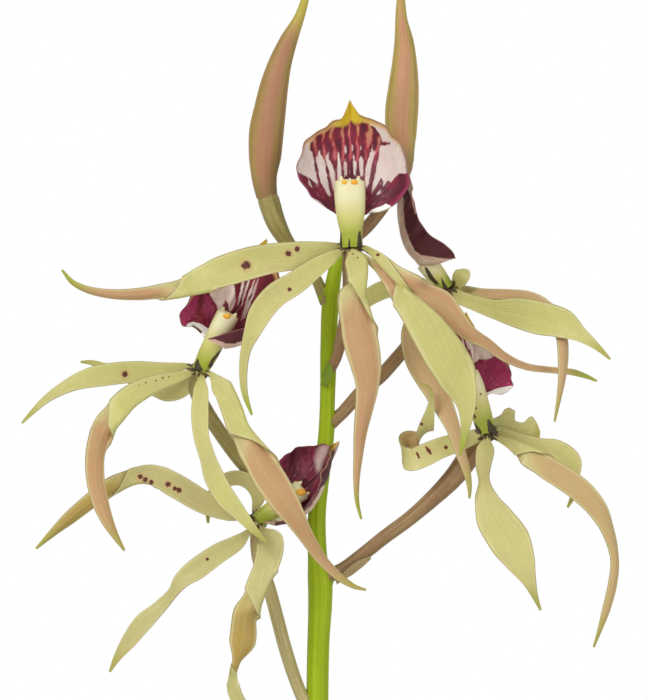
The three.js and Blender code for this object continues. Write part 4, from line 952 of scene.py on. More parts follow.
def add_blade(piece, stations, thickness, columns, step, keel, fold=0.1, ripple=0.0, rolls=()):
    """Long thin blade whose margins lean towards its inner face, with a rib along the outer.
    Where it turns over, it rolls up from one margin and stays as wide as its stations say, and
    from there on its outer face is flushed."""
    points = np.array([station[:3] for station in stations], float)
    at, share = even_steps(points, step)
    centres = smooth_line(points, at)
    aside = np.linspace(-1, 1, columns + 1)
    width = smooth_value([station[3] for station in stations], at)[:, None, None]
    sideways, towards, turn = blade_frame(stations, rolls, points, at, centres, aside)
    lean = sideways * np.cos(turn) + towards * np.sin(turn)
    facing = towards * np.cos(turn) - sideways * np.sin(turn)
    course = np.zeros_like(lean)
    course[:, 1:] = np.cumsum((lean[:, 1:] + lean[:, :-1]) / 2, axis=1) / columns
    spread = (course * sideways).sum(-1, keepdims=True)
    low, high = spread.min(axis=1, keepdims=True), spread.max(axis=1, keepdims=True)
    course = course - sideways * (low + high) / 2
    nearness = (course * towards).sum(-1, keepdims=True)
    course = course - towards * nearness.mean(axis=1, keepdims=True)
    full = width / np.clip(high - low, 0.42, 0.9) * 0.9 if rolls else width
    sheet = centres[:, None] + course * full
    across, along = (aside + 1) / 2, share[:, None, None]
    aside = aside[None, :, None]
    out = np.abs(aside)
    folded = (fold(along) if callable(fold) else fold) * width
    phase = points[0].sum()
    wave = np.sin(along * 17 + phase + aside) + 0.6 * np.sin(along * 39 + 2 * phase - 2 * aside)
    rise = folded * (out**1.6 - 0.35) + ripple * width * wave * out**3 * np.sin(np.pi * along)
    sheet = sheet + facing * rise
    skin = np.minimum(thickness, 0.25 + 0.2 * width) * (0.3 + 0.7 * (1 - aside**2)) / 2
    rib = keel * np.minimum(1, width / 4) * np.exp(-((aside / 0.14) ** 2))
    over = np.cos(turn[:, columns // 2, 0]) < 0
    start = 0.04 if over[0] or not over.any() else share[np.argmax(over)]
    reach = np.clip((along - start) / 0.13, 0, 1) * 1.5
    flush = np.clip(reach - out**1.5 * 0.95, 0, 1)
    inner, outer = sheet + facing * (skin - rib / 3), sheet - facing * (skin + rib)
    piece.sheet(inner, outer, across, share, flush)


def add_rod(piece, stations, sides, step=0.8, swell=None, finish=0, foot=0.0):
    """Round rod. u runs round it, with the viewer's side at 0.25, and v along it from foot to 1.
    swell gives its size at each turn and share of its length."""
    points = np.array([station[:3] for station in stations], float)
    at, share = even_steps(points, step)
    centres = smooth_line(points, at)
    wide = smooth_value([station[3] for station in stations], at)[:, None]
    depths = [station[4] if len(station) > 4 else station[3] for station in stations]
    deep = smooth_value(depths, at)[:, None]
    across, through = frames_along(centres, np.tile(VIEWER, (len(centres), 1)))
    turn = circle(sides)
    size = 1 if swell is None else swell(turn, share[:, None])
    sideways = across[:, None] * (np.cos(turn) * wide / 2 * size)[..., None]
    forwards = through[:, None] * (np.sin(turn) * deep / 2 * size)[..., None]
    piece.barrel(centres[:, None] + sideways + forwards, foot + (1 - foot) * share, finish)


def add_knob(piece, centre, radii, finish=0):
    """Small rounded body with a radius along each of X, Y and Z."""
    up = np.linspace(-0.5, 0.5, KNOB_ROWS + 2)[1:-1, None] * np.pi
    turn = circle(KNOB_SIDES)
    ball = np.stack([np.cos(up) * np.cos(turn), np.cos(up) * np.sin(turn), np.sin(up) + 0 * turn], -1)
    piece.barrel(np.array(centre) + ball * np.array(radii), np.linspace(0, 1, KNOB_ROWS), finish)


def add_turned(piece, outline, sides):
    """Body of revolution about +Z, with a flat cap where its outline ends away from the axis."""
    turn = circle(sides)
    radius, height = outline[:, :1], outline[:, 1:]
    rings = np.stack([radius * np.cos(turn), radius * np.sin(turn), height + 0 * turn], -1)
    piece.barrel(rings, np.linspace(0, 1, len(outline)))


# Finishes


def srgb(red, green, blue):
    """A screen colour, 0 to 255, as the linear colour that nodes take."""
    parts = [c / 255 for c in (red, green, blue)]
    return (*[c / 12.92 if c <= 0.04045 else ((c + 0.055) / 1.055) ** 2.4 for c in parts], 1)


class Nodes:
    """Short ways to add nodes to one tree. Colours are given as screen colours, 0 to 255."""

    def __init__(self, tree):
        self.tree = tree

    def add(self, kind, inputs=None, **settings):
        node = self.tree.nodes.new(kind)
        for name, value in settings.items():
            setattr(node, name, value)
        for socket, value in (inputs or {}).items():
            self.fill(node.inputs[socket], value)
        return node

    def fill(self, socket, value):
        if isinstance(value, bpy.types.NodeSocket):
            self.tree.links.new(value, socket)
        elif socket.type == "RGBA":
            socket.default_value = srgb(*value)
        else:
            socket.default_value = value

    def maths(self, kind, *values):
        return self.add("ShaderNodeMath", dict(enumerate(values)), operation=kind).outputs[0]

    def vectors(self, kind, first, second=(0, 0, 0)):
        node = self.add("ShaderNodeVectorMath", {0: first, 1: second}, operation=kind)
        return node.outputs["Value" if kind in ("LENGTH", "DISTANCE") else "Vector"]

    def times(self, value, by, plus=None):
        """A value times another, and plus a third if there is one."""
        if plus is None:
            return self.maths("MULTIPLY", value, by)
        return self.maths("MULTIPLY_ADD", value, by, plus)

    def larger(self, first, second):
        return self.maths("MAXIMUM", first, second)

    def centred(self, value):
        """A value from 0 to 1 as one that lies evenly about 0."""
        return self.maths("SUBTRACT", value, 0.5)

    def axis(self, vector, number):
        return self.add("ShaderNodeSeparateXYZ", {0: vector}).outputs[number]

    def band(self, value, low, high):
        """0 at low and 1 at high, rounded at both ends. low may be the larger."""
        ends = {"Value": value, "From Min": low, "From Max": high}
        return self.add("ShaderNodeMapRange", ends, interpolation_type="SMOOTHSTEP").outputs["Result"]

    def mix(self, share, first, second):
        """Colour that goes from first to second with share."""
        return self.add("ShaderNodeMix", {0: share, 6: first, 7: second}, data_type="RGBA").outputs[2]

    def noise(self, vector, scale, detail):
        return self.add("ShaderNodeTexNoise", {"Vector": vector, "Scale": scale, "Detail": detail}).outputs[0]

    def stretched_noise(self, vector, scale, detail):
        """Noise with its own fineness along each axis."""
        stretched = self.add("ShaderNodeMapping", {"Vector": vector, "Scale": scale}).outputs[0]
        return self.noise(stretched, 1.0, detail)

    def effect(self, name, **inputs):
        """A shared effect, by name, with its own values."""
        node = self.add("ShaderNodeGroup", node_tree=EFFECTS[name])
        for socket, value in inputs.items():
            self.fill(node.inputs[socket], value)
        return node.outputs[0]


EFFECTS = {}


def new_effect(name, result, **sockets):
    """Starts a shared effect, and returns its nodes, its inputs and its result's socket."""
    tree = bpy.data.node_groups.new(name, "ShaderNodeTree")
    for label, kind in sockets.items():
        tree.interface.new_socket(label, in_out="INPUT", socket_type="NodeSocket" + kind)
    tree.interface.new_socket(result, in_out="OUTPUT", socket_type="NodeSocketFloat")
    nodes = Nodes(tree)
    EFFECTS[name] = tree
    return nodes, nodes.add("NodeGroupInput").outputs, nodes.add("NodeGroupOutput").inputs[0]


def make_mottle():
    nodes, given, result = new_effect("mottle", "Cloud", Position="Vector", Size="Float")
    scale = nodes.maths("DIVIDE", 1.0, given["Size"])
    nodes.fill(result, nodes.band(nodes.noise(given["Position"], scale, 4), 0.32, 0.68))


def make_veins():
    nodes, given, result = new_effect("veins", "Line", UV="Vector", Count="Float", Waver="Float")
    waver = nodes.centred(nodes.stretched_noise(given["UV"], (3, 5, 1), 2))
    shifted = nodes.times(waver, given["Waver"], nodes.axis(given["UV"], 0))
    turns = nodes.times(nodes.times(shifted, given["Count"]), 2 * math.pi)
    nodes.fill(result, nodes.band(nodes.maths("COSINE", turns), 0.2, 1.0))


def make_streaks():
    nodes, given, result = new_effect("streaks", "Streak", UV="Vector", Count="Float", Breaks="Float")
    stretch = nodes.add("ShaderNodeCombineXYZ", {0: given["Count"], 1: given["Breaks"], 2: 1.0}).outputs[0]
    long = nodes.vectors("MULTIPLY", given["UV"], stretch)
    nodes.fill(result, nodes.band(nodes.noise(long, 1.0, 2), 0.36, 0.64))


def make_fleck():
    """A ragged spot, as wide at every depth."""
    nodes, given, result = new_effect("fleck", "Fleck", Position="Vector", Place="Vector", Size="Float")
    away = nodes.vectors("SUBTRACT", given["Position"], given["Place"])
    distance = nodes.vectors("LENGTH", nodes.vectors("MULTIPLY", away, (1, 0, 1)))
    ragged = nodes.centred(nodes.noise(given["Position"], 1400.0, 2))
    reach = nodes.times(ragged, nodes.times(given["Size"], 1.1), distance)
    nodes.fill(result, nodes.band(nodes.maths("DIVIDE", reach, given["Size"]), 1.15, 0.75))


class Finish(Nodes):
    """A material: its nodes, the coordinates it is drawn on, and the colour that it has so far."""

    def __init__(self, name, colour, specular=0.5):
        self.material = bpy.data.materials.new(name)
        self.material.use_nodes = True
        super().__init__(self.material.node_tree)
        self.colour = colour
        self.shader = self.tree.nodes["Principled BSDF"]
        self.shader.inputs["Specular IOR Level"].default_value = specular
        coordinates = self.add("ShaderNodeTexCoord")
        self.place, self.uv = coordinates.outputs["Object"], coordinates.outputs["UV"]
        parts = self.add("ShaderNodeSeparateXYZ", {0: self.uv}).outputs
        self.u, self.v = parts[0], parts[1]
        self.outer = self.attribute("side")

    def attribute(self, name):
        return self.add("ShaderNodeAttribute", attribute_name=name).outputs["Fac"]

    def from_middle(self):
        """0 along the middle of a blade and 1 at its margins."""
        return self.times(self.maths("ABSOLUTE", self.centred(self.u)), 2.0)

    def mottle(self, size):
        return self.effect("mottle", Position=self.place, Size=size)

    def veins(self, count, waver):
        return self.effect("veins", UV=self.uv, Count=count, Waver=waver)

    def streaks(self, count, breaks):
        return self.effect("streaks", UV=self.uv, Count=count, Breaks=breaks)

    def grain(self, across, along, detail=2):
        """Noise on the flat pattern, so many times as fine across it and along it."""
        return self.stretched_noise(self.uv, (across, along, 1), detail)

    def tint(self, mask, share, colour):
        """Lays a colour over the one so far, by a share of the mask."""
        self.colour = self.mix(mask if share == 1 else self.times(mask, share), self.colour, colour)

    def close(self, roughness, height, depth, strength=0.6):
        """Feeds the shader: the colour, a roughness, and a height that is so many millimetres deep."""
        self.fill(self.shader.inputs["Base Color"], self.colour)
        self.fill(self.shader.inputs["Roughness"], roughness)
        bump = self.add("ShaderNodeBump", {"Strength": strength, "Distance": depth * MM, "Height": height})
        self.fill(self.shader.inputs["Normal"], bump.outputs[0])
        return self.material


def tepal_finish(letter):
    """Sepals and petals: pale green inside and blushed outside, with parallel veins, cream
    margins, dark marks where they join, and the flower's own flecks."""
    pale, dull, outside, blush, deep = TEPAL_COLOURS[letter]
    coat = Finish("tepal_" + letter, pale, WAXY)
    cloud = coat.mottle(0.009)
    fine = coat.mottle(0.0012)
    veins = coat.veins(8.0, 0.05)
    streak = coat.streaks(7.0, 2.0)
    coat.tint(cloud, 1, dull)
    coat.tint(coat.mottle(0.017), 0.2, (190, 200, 100))
    coat.tint(coat.outer, 0.85, outside)
    pink = coat.mix(coat.times(streak, 0.5, coat.times(cloud, 0.5)), blush, deep)
    coat.tint(coat.attribute("flush"), 1, pink)
    coat.tint(veins, 0.09, (160, 148, 84))
    coat.tint(streak, 0.2, (214, 206, 148))
    middle = coat.from_middle()
    # Darker olive along the middle: partly the blade's own colour, partly painted shade of its rib
    coat.tint(coat.band(middle, 0.16, 0.0), 0.1, (170, 158, 84))
    coat.tint(coat.band(middle, 0.74, 0.9), 0.45, (220, 210, 156))
    # Painted shade: a thin dark line along both margins, where the blade turns away
    coat.tint(coat.band(middle, 0.92, 0.98), 0.6, (128, 112, 62))
    coat.tint(coat.band(coat.v, 0.84, 0.96), 0.8, GREEN_TIP if letter == "a" else TAN_TIP)
    coat.tint(fine, 0.08, (150, 140, 80))
    away = coat.vectors("DISTANCE", coat.place, tuple(c * MM for c in HEARTS[letter]))
    coat.tint(coat.band(away, 0.009, 0.003), 0.15, (150, 146, 66))
    ragged = coat.times(coat.grain(3, 6), 0.006, away)
    coat.tint(coat.band(ragged, 0.0058, 0.0052), 0.9, (64, 40, 36))
    for spread, strength, tint in FLECK_LAYERS:
        for x, z, radius in FLECKS[letter]:
            size = radius * spread * MM
            fleck = coat.effect("fleck", Position=coat.place, Place=(x * MM, 0, z * MM), Size=size)
            coat.tint(fleck, strength, tint)
    height = coat.times(veins, 0.35, coat.times(fine, 0.15))
    return coat.close(coat.times(fine, 0.12, 0.45), height, 0.08)


def lip_finish(letter):
    """Cockleshell lip: dark maroon with pale cheeks and strips that fan up from the column, warm
    streaks below a yellow rim and point, cream hems under the side lobes, and a plum back.
    Flower D's lip is turned away, and its pattern is softer and its rim shows on one half."""
    turned = letter == "d"
    maroon, wine, magenta, blush = BRIGHT_LIP if letter in "ce" else DUSKY_LIP
    coat = Finish("lip_" + letter, maroon, WAXY)
    pale, rosy, hem, warm, behind = (coat.attribute(kind) for kind in LIP_KINDS)
    broad = coat.grain(9, 4, 3)
    coarse = coat.grain(24, 6, 3)
    fine = coat.grain(90, 9)
    ragged = coat.times(fine, 0.5, coat.times(coarse, 0.35, -0.425))
    aside = coat.maths("ABSOLUTE", coat.centred(coat.u))
    coat.tint(coat.band(broad, 0.4, 0.62), 1, wine)

    # Warm streaks where the stripes run together
    glow = coat.band(coat.times(coat.centred(broad), 3.0, warm), -0.3, 0.6)
    wobble = coat.centred(coat.times(coat.centred(broad), 0.05, coat.u))
    comb = coat.maths("COSINE", coat.times(wobble, 2 * math.pi * LIP_STRIPES))
    comb = coat.times(coat.centred(coarse), 3.2, comb)
    coat.tint(coat.times(glow, coat.band(comb, -0.6, 0.6)), 0.7, (168, 44, 58))
    streak = coat.mix(coat.band(coat.v, 0.6, 0.82), (204, 108, 112), (212, 154, 112))
    coat.tint(coat.times(glow, coat.band(comb, 0.45, 1.1)), 0.7, streak)

    # The lobes' own margins, and pale pink slits that are partly their own colour and partly painted
    # highlight
    lobed = coat.times(coat.band(aside, 0.24, 0.34), coat.band(coat.times(coarse, 0.2, coat.v), 0.96, 1.1))
    flushed = coat.band(coat.times(ragged, 2.0, rosy), -0.3, 0.9)
    coat.tint(coat.larger(lobed, flushed), 0.85, magenta)
    # Pale pink slits on the rosy places and towards the throat, partly painted soft highlight
    pale_slits_and_sheen = coat.times(coat.band(fine, 0.6, 0.68), coat.larger(flushed, coat.band(coat.v, 0.75, 0.4)))
    coat.tint(pale_slits_and_sheen, 0.45, (206, 136, 154))

    # The pale cheeks and strips
    ground = coat.mix(coat.times(coat.band(broad, 0.35, 0.65), 0.6), blush, (214, 188, 178))
    ground = coat.mix(coat.times(coat.band(fine, 0.5, 0.7), 0.3), ground, (190, 150, 150))
    ground = coat.mix(coat.times(glow, coat.band(coat.v, 0.66, 0.84)), ground, (224, 184, 142))
    if turned:
        ground = coat.mix(0.35, ground, (150, 70, 84))
    clear = coat.times(coat.times(glow, coat.band(coarse, 0.6, 0.4)), -0.45, pale)
    ends = (-0.5, 0.7) if turned else (-0.12, 0.16)
    coat.tint(coat.band(coat.times(ragged, 1.3, clear), *ends), 1, ground)

    # The yellow rim, widest at the point and peach further on, and the hems
    reach = coat.times(coat.band(aside, 0.0, 0.1), 0.12, 0.79)
    rim = coat.times(coat.centred(coarse), 0.1, coat.maths("SUBTRACT", coat.v, reach))
    edge = coat.times(coat.band(rim, 0.0, 0.05), coat.band(aside, 0.27, 0.2))
    if turned:
        edge = coat.times(edge, coat.band(coat.u, 0.46, 0.5))
    yellow = coat.mix(coat.band(aside, 0.03, 0.15), (224, 196, 46), (218, 172, 118))
    coat.tint(edge, 0.92, yellow)
    # Painted shade: a dark line along the rim, where the lip turns away, but not at its point
    margin_line = coat.times(coat.band(coat.v, 0.97, 0.99), coat.band(aside, 0.02, 0.09))
    coat.tint(margin_line, 0.5, (112, 66, 60))
    coat.tint(coat.band(coat.times(ragged, 0.4, hem), -0.05, 0.1), 1, (255, 252, 246))

    # The back: dark plum with a pale foot, and a pale keel but for flower B's
    back = coat.mix(coat.times(coat.band(fine, 0.4, 0.7), 0.4), (84, 32, 38), (106, 42, 52))
    keel = 0.0 if letter == "b" else coat.band(aside, 0.035, 0.02)
    keel = coat.larger(keel, coat.band(coat.times(coarse, 0.1, coat.v), 0.3, 0.2))
    light = coat.larger(coat.times(keel, 0.8), coat.band(coat.times(ragged, 0.8, behind), -0.1, 0.25))
    back = coat.mix(light, back, coat.mix(coat.band(broad, 0.35, 0.6), (216, 194, 172), (204, 168, 150)))
    back = coat.mix(coat.times(coat.band(coat.v, 0.975, 0.995), 0.4), back, (170, 120, 110))
    coat.tint(coat.outer, 1, back)
    height = coat.times(coarse, 0.4, coat.times(fine, 0.6))
    return coat.close(coat.times(coarse, 0.15, 0.45), height, 0.14)


def column_finish():
    """Column: yellow-green at the foot, cream at the top, with dark streaks up from the foot."""
    coat = Finish("column", (150, 164, 34), WAXY)
    cloud = coat.mottle(0.004)
    coat.tint(coat.band(coat.v, 0.12, 0.5), 1, (208, 202, 118))
    coat.tint(coat.band(coat.v, 0.4, 0.8), 1, (234, 228, 184))
    coat.tint(cloud, 0.15, (204, 192, 112))
    turn = coat.times(coat.maths("SUBTRACT", coat.u, 0.25), 2 * math.pi)
    side = coat.maths("ABSOLUTE", coat.maths("SINE", turn))
    coat.tint(coat.band(side, 0.7, 1.0), 0.3, (196, 190, 120))
    ragged = coat.times(coat.grain(24, 20), 0.3, -0.15)
    mark = coat.maths("ADD", coat.attribute("mark"), ragged)
    coat.tint(coat.band(mark, -0.08, 0.08), 0.95, (58, 38, 36))
    return coat.close(coat.times(cloud, 0.12, 0.36), coat.grain(24, 12), 0.08)


def anther_finish():
    """Anther cap: waxy orange, lighter in patches."""
    coat = Finish("anther", (240, 158, 18))
    cloud = coat.mottle(0.0011)
    coat.tint(cloud, 1, (250, 196, 62))
    return coat.close(coat.times(cloud, 0.1, 0.35), cloud, 0.06)


def stalk_finish(name, body, shade, light):
    """Stem or stalk: a body colour with long streaks and fine ribs."""
    coat = Finish(name, body, 0.2)
    fine = coat.mottle(0.0009)
    coat.tint(coat.mottle(0.012), 0.6, light)
    coat.tint(coat.streaks(14.0, 3.0), 0.5, shade)
    coat.tint(fine, 0.18, shade)
    height = coat.times(coat.veins(12.0, 0.02), 0.7, coat.times(fine, 0.3))
    return coat.close(coat.times(fine, 0.14, 0.38), height, 0.1)


def bud_finish():
    """Bud: pinkish tan down the middle of each closed sepal, yellow-green by its seams. The left
    bud is browner, with a yellower tip."""
    coat = Finish("bud", (182, 164, 76))
    streak = coat.streaks(22.0, 4.0)
    fine = coat.mottle(0.0008)
    turns = coat.times(coat.maths("SUBTRACT", coat.u, 0.25), 2 * math.pi * 3)
    middle = coat.times(coat.maths("COSINE", turns), 0.5, 0.5)
    coat.tint(coat.band(coat.times(streak, 0.35, middle), 0.15, 1.1), 1, (190, 132, 98))
    coat.tint(coat.mottle(0.006), 0.35, (160, 136, 72))
    coat.tint(streak, 0.3, (206, 160, 112))
    # Painted shade: darker in the grooves where the sepals' margins meet
    coat.tint(coat.band(middle, 0.05, 0.0), 0.3, (120, 100, 50))
    coat.tint(coat.band(coat.v, 0.12, 0.0), 0.5, (112, 110, 52))
    left = coat.band(coat.axis(coat.place, 0), 0.004, -0.004)
    coat.tint(left, 0.45, (138, 92, 58))
    tip = coat.times(coat.band(coat.v, 0.68, 0.86), coat.times(left, 0.5, 0.35))
    coat.tint(tip, 1, (186, 176, 66))
    height = coat.times(streak, 0.6, coat.times(fine, 0.4))
    return coat.close(coat.times(fine, 0.12, 0.45), height, 0.1)


def leaf_finish(name, body, light, age):
    """Strap leaf: close parallel veins, a paler midrib and underside, yellowing with age."""
    coat = Finish(name, body)
    cloud = coat.mottle(0.03)
    fine = coat.mottle(0.0022)
    veins = coat.veins(21.0, 0.012)
    middle = coat.from_middle()
    coat.tint(cloud, 0.7, light)
    coat.tint(coat.streaks(26.0, 2.0), 0.35, (74, 112, 38))
    coat.tint(veins, 0.22, (150, 176, 92))
    coat.tint(coat.outer, 0.4, (142, 164, 92))
    coat.tint(coat.band(middle, 0.07, 0.0), 0.6, (164, 186, 104))
    coat.tint(coat.band(middle, 0.95, 1.0), 0.6, (154, 150, 78))
    tip = coat.band(coat.times(cloud, 0.03, coat.v), 0.955, 1.0)
    coat.tint(coat.larger(coat.band(coat.v, 0.08, 0.0), tip), 0.6, (170, 156, 84))
    coat.tint(coat.band(coat.noise(coat.place, 260.0, 2), 0.66, 0.72), age, (122, 104, 48))
    height = coat.times(veins, 0.7, coat.times(fine, 0.3))
    return coat.close(coat.times(fine, 0.14, 0.32), height, 0.14)


def bulb_finish(name, body, light, age):
    """Pseudobulb: ribbed green skin, tan rags of old sheath at the foot, scars at the top."""
    coat = Finish(name, body)
    streak = coat.streaks(30.0, 3.0)
    coat.tint(coat.mottle(0.014), 0.8, light)
    coat.tint(streak, 0.4, (92, 112, 46))
    foot = coat.band(coat.times(streak, 0.16, coat.v), 0.34, 0.2)
    coat.tint(foot, 0.9, coat.mix(streak, (176, 156, 112), (120, 98, 66)))
    coat.tint(coat.band(coat.v, 0.955, 0.99), 0.7, (138, 118, 70))
    coat.tint(coat.band(coat.noise(coat.place, 130.0, 3), 0.6, 0.7), age, (128, 108, 56))
    height = coat.times(streak, 0.7, coat.times(coat.mottle(0.0012), 0.3))
    return coat.close(coat.times(foot, 0.35, 0.38), height, 0.35)


def root_finish():
    """Roots: chalky silver velamen with green showing through in patches."""
    coat = Finish("root", (186, 182, 156))
    fine = coat.mottle(0.0011)
    coat.tint(coat.mottle(0.007), 1, (150, 152, 104))
    coat.tint(fine, 0.35, (122, 108, 76))
    coat.tint(coat.band(coat.v, 0.9, 0.97), 0.8, (138, 158, 62))
    return coat.close(coat.times(fine, 0.2, 0.6), fine, 0.2)


def rhizome_finish():
    """Rhizome: brown scales in rings, with a green flush between them."""
    coat = Finish("rhizome", (140, 116, 74))
    streak = coat.streaks(18.0, 30.0)
    rings = coat.times(coat.maths("COSINE", coat.times(coat.v, 2 * math.pi * SCALE_RINGS)), 0.5, 0.5)
    coat.tint(coat.mottle(0.008), 1, (128, 132, 68))
    coat.tint(rings, 0.5, (98, 74, 48))
    coat.tint(streak, 0.4, (172, 150, 106))
    return coat.close(coat.times(streak, 0.2, 0.6), streak, 0.4)


def sheath_finish(name, body, shade):
    """Dry papery sheath or bract: long fibres, torn paler margins."""
    coat = Finish(name, body)
    fibres = coat.streaks(40.0, 1.5)
    coat.tint(fibres, 0.6, shade)
    coat.tint(coat.mottle(0.006), 0.35, (148, 122, 80))
    coat.tint(coat.band(coat.from_middle(), 0.8, 1.0), 0.5, (224, 208, 170))
    return coat.close(coat.times(fibres, 0.15, 0.62), fibres, 0.15)


def bark_finish():
    """Orchid bark: each chip its own brown, fibrous, rough and a little dusty on top."""
    coat = Finish("bark", (92, 58, 38))
    grain = coat.stretched_noise(coat.place, (320, 320, 1600), 4)
    cloud = coat.mottle(0.005)
    coat.tint(coat.attribute("chip"), 1, (158, 112, 76))
    coat.tint(grain, 0.6, (62, 40, 28))
    coat.tint(cloud, 0.3, (176, 140, 104))
    height = coat.times(grain, 0.8, coat.times(cloud, 0.2))
    return coat.close(coat.times(grain, 0.15, 0.78), height, 0.5, 0.8)


def clay_finish():
    """Fired clay: warm and mottled, with faint turning lines, pores and a pale lime bloom."""
    coat = Finish("clay", (186, 112, 74))
    pores = coat.mottle(0.0012)
    lines = coat.stretched_noise(coat.place, (6, 6, 620), 2)
    coat.tint(coat.mottle(0.035), 1, (170, 94, 60))
    coat.tint(coat.band(lines, 0.45, 0.7), 0.25, (204, 138, 98))
    coat.tint(pores, 0.18, (132, 74, 48))
    drift = coat.times(coat.noise(coat.place, 38.0, 3), -0.05, coat.axis(coat.place, 2))
    belt = coat.times(coat.band(drift, 0.045, 0.062), coat.band(drift, 0.078, 0.066))
    lime = coat.larger(coat.band(drift, 0.02, -0.02), belt)
    coat.tint(lime, 0.45, (214, 186, 164))
    height = coat.times(lines, 0.6, coat.times(pores, 0.4))
    return coat.close(coat.times(lime, 0.06, 0.82), height, 0.3)


# Pot, bark, rhizome and pseudobulbs


def inside_radius(z):
    """The pot's inner radius at a height."""
    taper = (POT_RIM_RADIUS - RIM_STEP - POT_BASE_RADIUS) * z / POT_HEIGHT
    return POT_BASE_RADIUS - POT_WALL + taper


def make_pot(clay):
    band_bottom = POT_HEIGHT - RIM_BAND
    band_radius = inside_radius(band_bottom) + POT_WALL
    corners = [
        (0, 0), (POT_BASE_RADIUS - 0.6, 0), (band_radius, band_bottom),
        (band_radius + RIM_STEP, band_bottom + 1), (POT_RIM_RADIUS, POT_HEIGHT),
        (inside_radius(POT_HEIGHT), POT_HEIGHT), (inside_radius(POT_FLOOR), POT_FLOOR), (0, POT_FLOOR),
    ]
    walls = Piece("pot")
    add_turned(walls, soften(corners, reach=2.2, steps=6), sides=128)
    drills = Piece("drain_drills")
    for number in range(DRAIN_HOLES):
        angle = (number + 0.5) / DRAIN_HOLES * 2 * math.pi
        x, y = DRAIN_RING * math.cos(angle), DRAIN_RING * math.sin(angle)
        add_rod(drills, [[x, y, z, 2 * DRAIN_RADIUS] for z in (-6, 0, 6, 14)], sides=32, step=20)
    whole = put_in_scene("whole_pot", walls.mesh(clay))
    cutter = put_in_scene("drain_drills", drills.mesh(clay))
    cut = whole.modifiers.new("Drain holes", "BOOLEAN")
    cut.object, cut.operation, cut.solver = cutter, "DIFFERENCE", "EXACT"
    finished = finished_mesh(whole)
    for helper in (whole, cutter):
        bpy.data.objects.remove(helper)
    stand_for("pot", finished)


def loose_bark(material):
    """Node tree that scatters chips of bark over a surface. Returns it with its inputs' ids."""
    tree = bpy.data.node_groups.new("loose_bark", "GeometryNodeTree")
    tree.interface.new_socket("Geometry", in_out="OUTPUT", socket_type="NodeSocketGeometry")
    tree.interface.new_socket("Geometry", in_out="INPUT", socket_type="NodeSocketGeometry")
    ids = {}
    for label, (kind, _) in BARK_CHIPS.items():
        socket = tree.interface.new_socket(label, in_out="INPUT", socket_type="NodeSocket" + kind)
        ids[label] = socket.identifier
    nodes = Nodes(tree)
    given = nodes.add("NodeGroupInput").outputs
    surface, seed = given["Geometry"], given["Seed"]

    def compare(value, operation, limit):
        ends = {0: value, 1: limit}
        return nodes.add("FunctionNodeCompare", ends, data_type="FLOAT", operation=operation).outputs[0]

    def random(low, high, number):
        ends = {0: low, 1: high, "Seed": number}
        return nodes.add("FunctionNodeRandomValue", ends, data_type="FLOAT_VECTOR").outputs[0]

    # Points on the bed's top, clear of the pot's wall
    position = nodes.add("GeometryNodeInputPosition").outputs[0]
    from_axis = nodes.vectors("LENGTH", nodes.vectors("MULTIPLY", position, (1, 1, 0)))
    near = compare(from_axis, "LESS_THAN", given["Reach"])
    top = compare(nodes.axis(position, 2), "GREATER_THAN", (BARK_TOP - 3) * MM)
    where = nodes.add("FunctionNodeBooleanMath", {0: near, 1: top}, operation="AND").outputs[0]
    spread = {"Mesh": surface, "Selection": where, "Distance Min": given["Spacing"], "Seed": seed}
    spread["Density Max"] = CHIP_DENSITY
    scatter = nodes.add("GeometryNodeDistributePointsOnFaces", spread, distribute_method="POISSON")

    # A chip on each point, with its own turn, size and tone
    block = {"Size": given["Chip size"], "Vertices X": 4, "Vertices Y": 3, "Vertices Z": 2}
    chip = nodes.add("GeometryNodeMeshCube", block).outputs["Mesh"]
    placed = {"Points": scatter.outputs["Points"], "Instance": chip}
    placed["Rotation"] = random((-0.5, -0.5, 0), (0.5, 0.5, 6.28), seed)
    placed["Scale"] = random((0.5, 0.55, 0.6), (1.15, 1.2, 1.3), CHIP_SIZE_SEED)
    chips = nodes.add("GeometryNodeInstanceOnPoints", placed).outputs[0]
    tone = nodes.add("FunctionNodeRandomValue", {2: 0.0, 3: 1.0, "Seed": CHIP_TONE_SEED}, data_type="FLOAT")
    toned = {"Geometry": chips, "Name": "chip", "Value": tone.outputs[1]}
    named = nodes.add("GeometryNodeStoreNamedAttribute", toned, data_type="FLOAT", domain="INSTANCE")
    solid = nodes.add("GeometryNodeRealizeInstances", {0: named.outputs[0]}).outputs[0]

    # Uneven faces, and the bed below
    bumps = nodes.add("ShaderNodeTexNoise", {"Vector": position, "Scale": 210.0, "Detail": 2.0})
    shift = nodes.vectors("SUBTRACT", bumps.outputs["Color"], (0.5, 0.5, 0.5))
    sized = nodes.add("ShaderNodeVectorMath", {0: shift, "Scale": given["Roughness"]}, operation="SCALE")
    rough = nodes.add("GeometryNodeSetPosition", {"Geometry": solid, "Offset": sized.outputs[0]})
    joined = nodes.add("GeometryNodeJoinGeometry")
    tree.links.new(rough.outputs[0], joined.inputs[0])
    tree.links.new(surface, joined.inputs[0])
    dressed = nodes.add("GeometryNodeSetMaterial", {"Geometry": joined.outputs[0], "Material": material})
    nodes.add("NodeGroupOutput", {0: dressed.outputs[0]})
    return tree, ids


def make_bark(material):
    corners = [
        (0, POT_FLOOR + BARK_GAP), (inside_radius(POT_FLOOR) - BARK_GAP, POT_FLOOR + BARK_GAP),
        (inside_radius(BARK_TOP - 4) - BARK_GAP, BARK_TOP - 4),
        (inside_radius(BARK_TOP) - 5, BARK_TOP - 1.4), (24, BARK_TOP - 1), (0, BARK_TOP - 1),
    ]
    bed = Piece("potting_bark")
    add_turned(bed, soften(corners), sides=72)
    helper = put_in_scene("bark_bed", bed.mesh(material))
    scatter = helper.modifiers.new("Loose bark", "NODES")
    scatter.node_group, ids = loose_bark(material)
    for label, (_, value) in BARK_CHIPS.items():
        scatter[ids[label]] = value
    finished = finished_mesh(helper)
    bpy.data.objects.remove(helper)
    stand_for("potting_bark", finished)


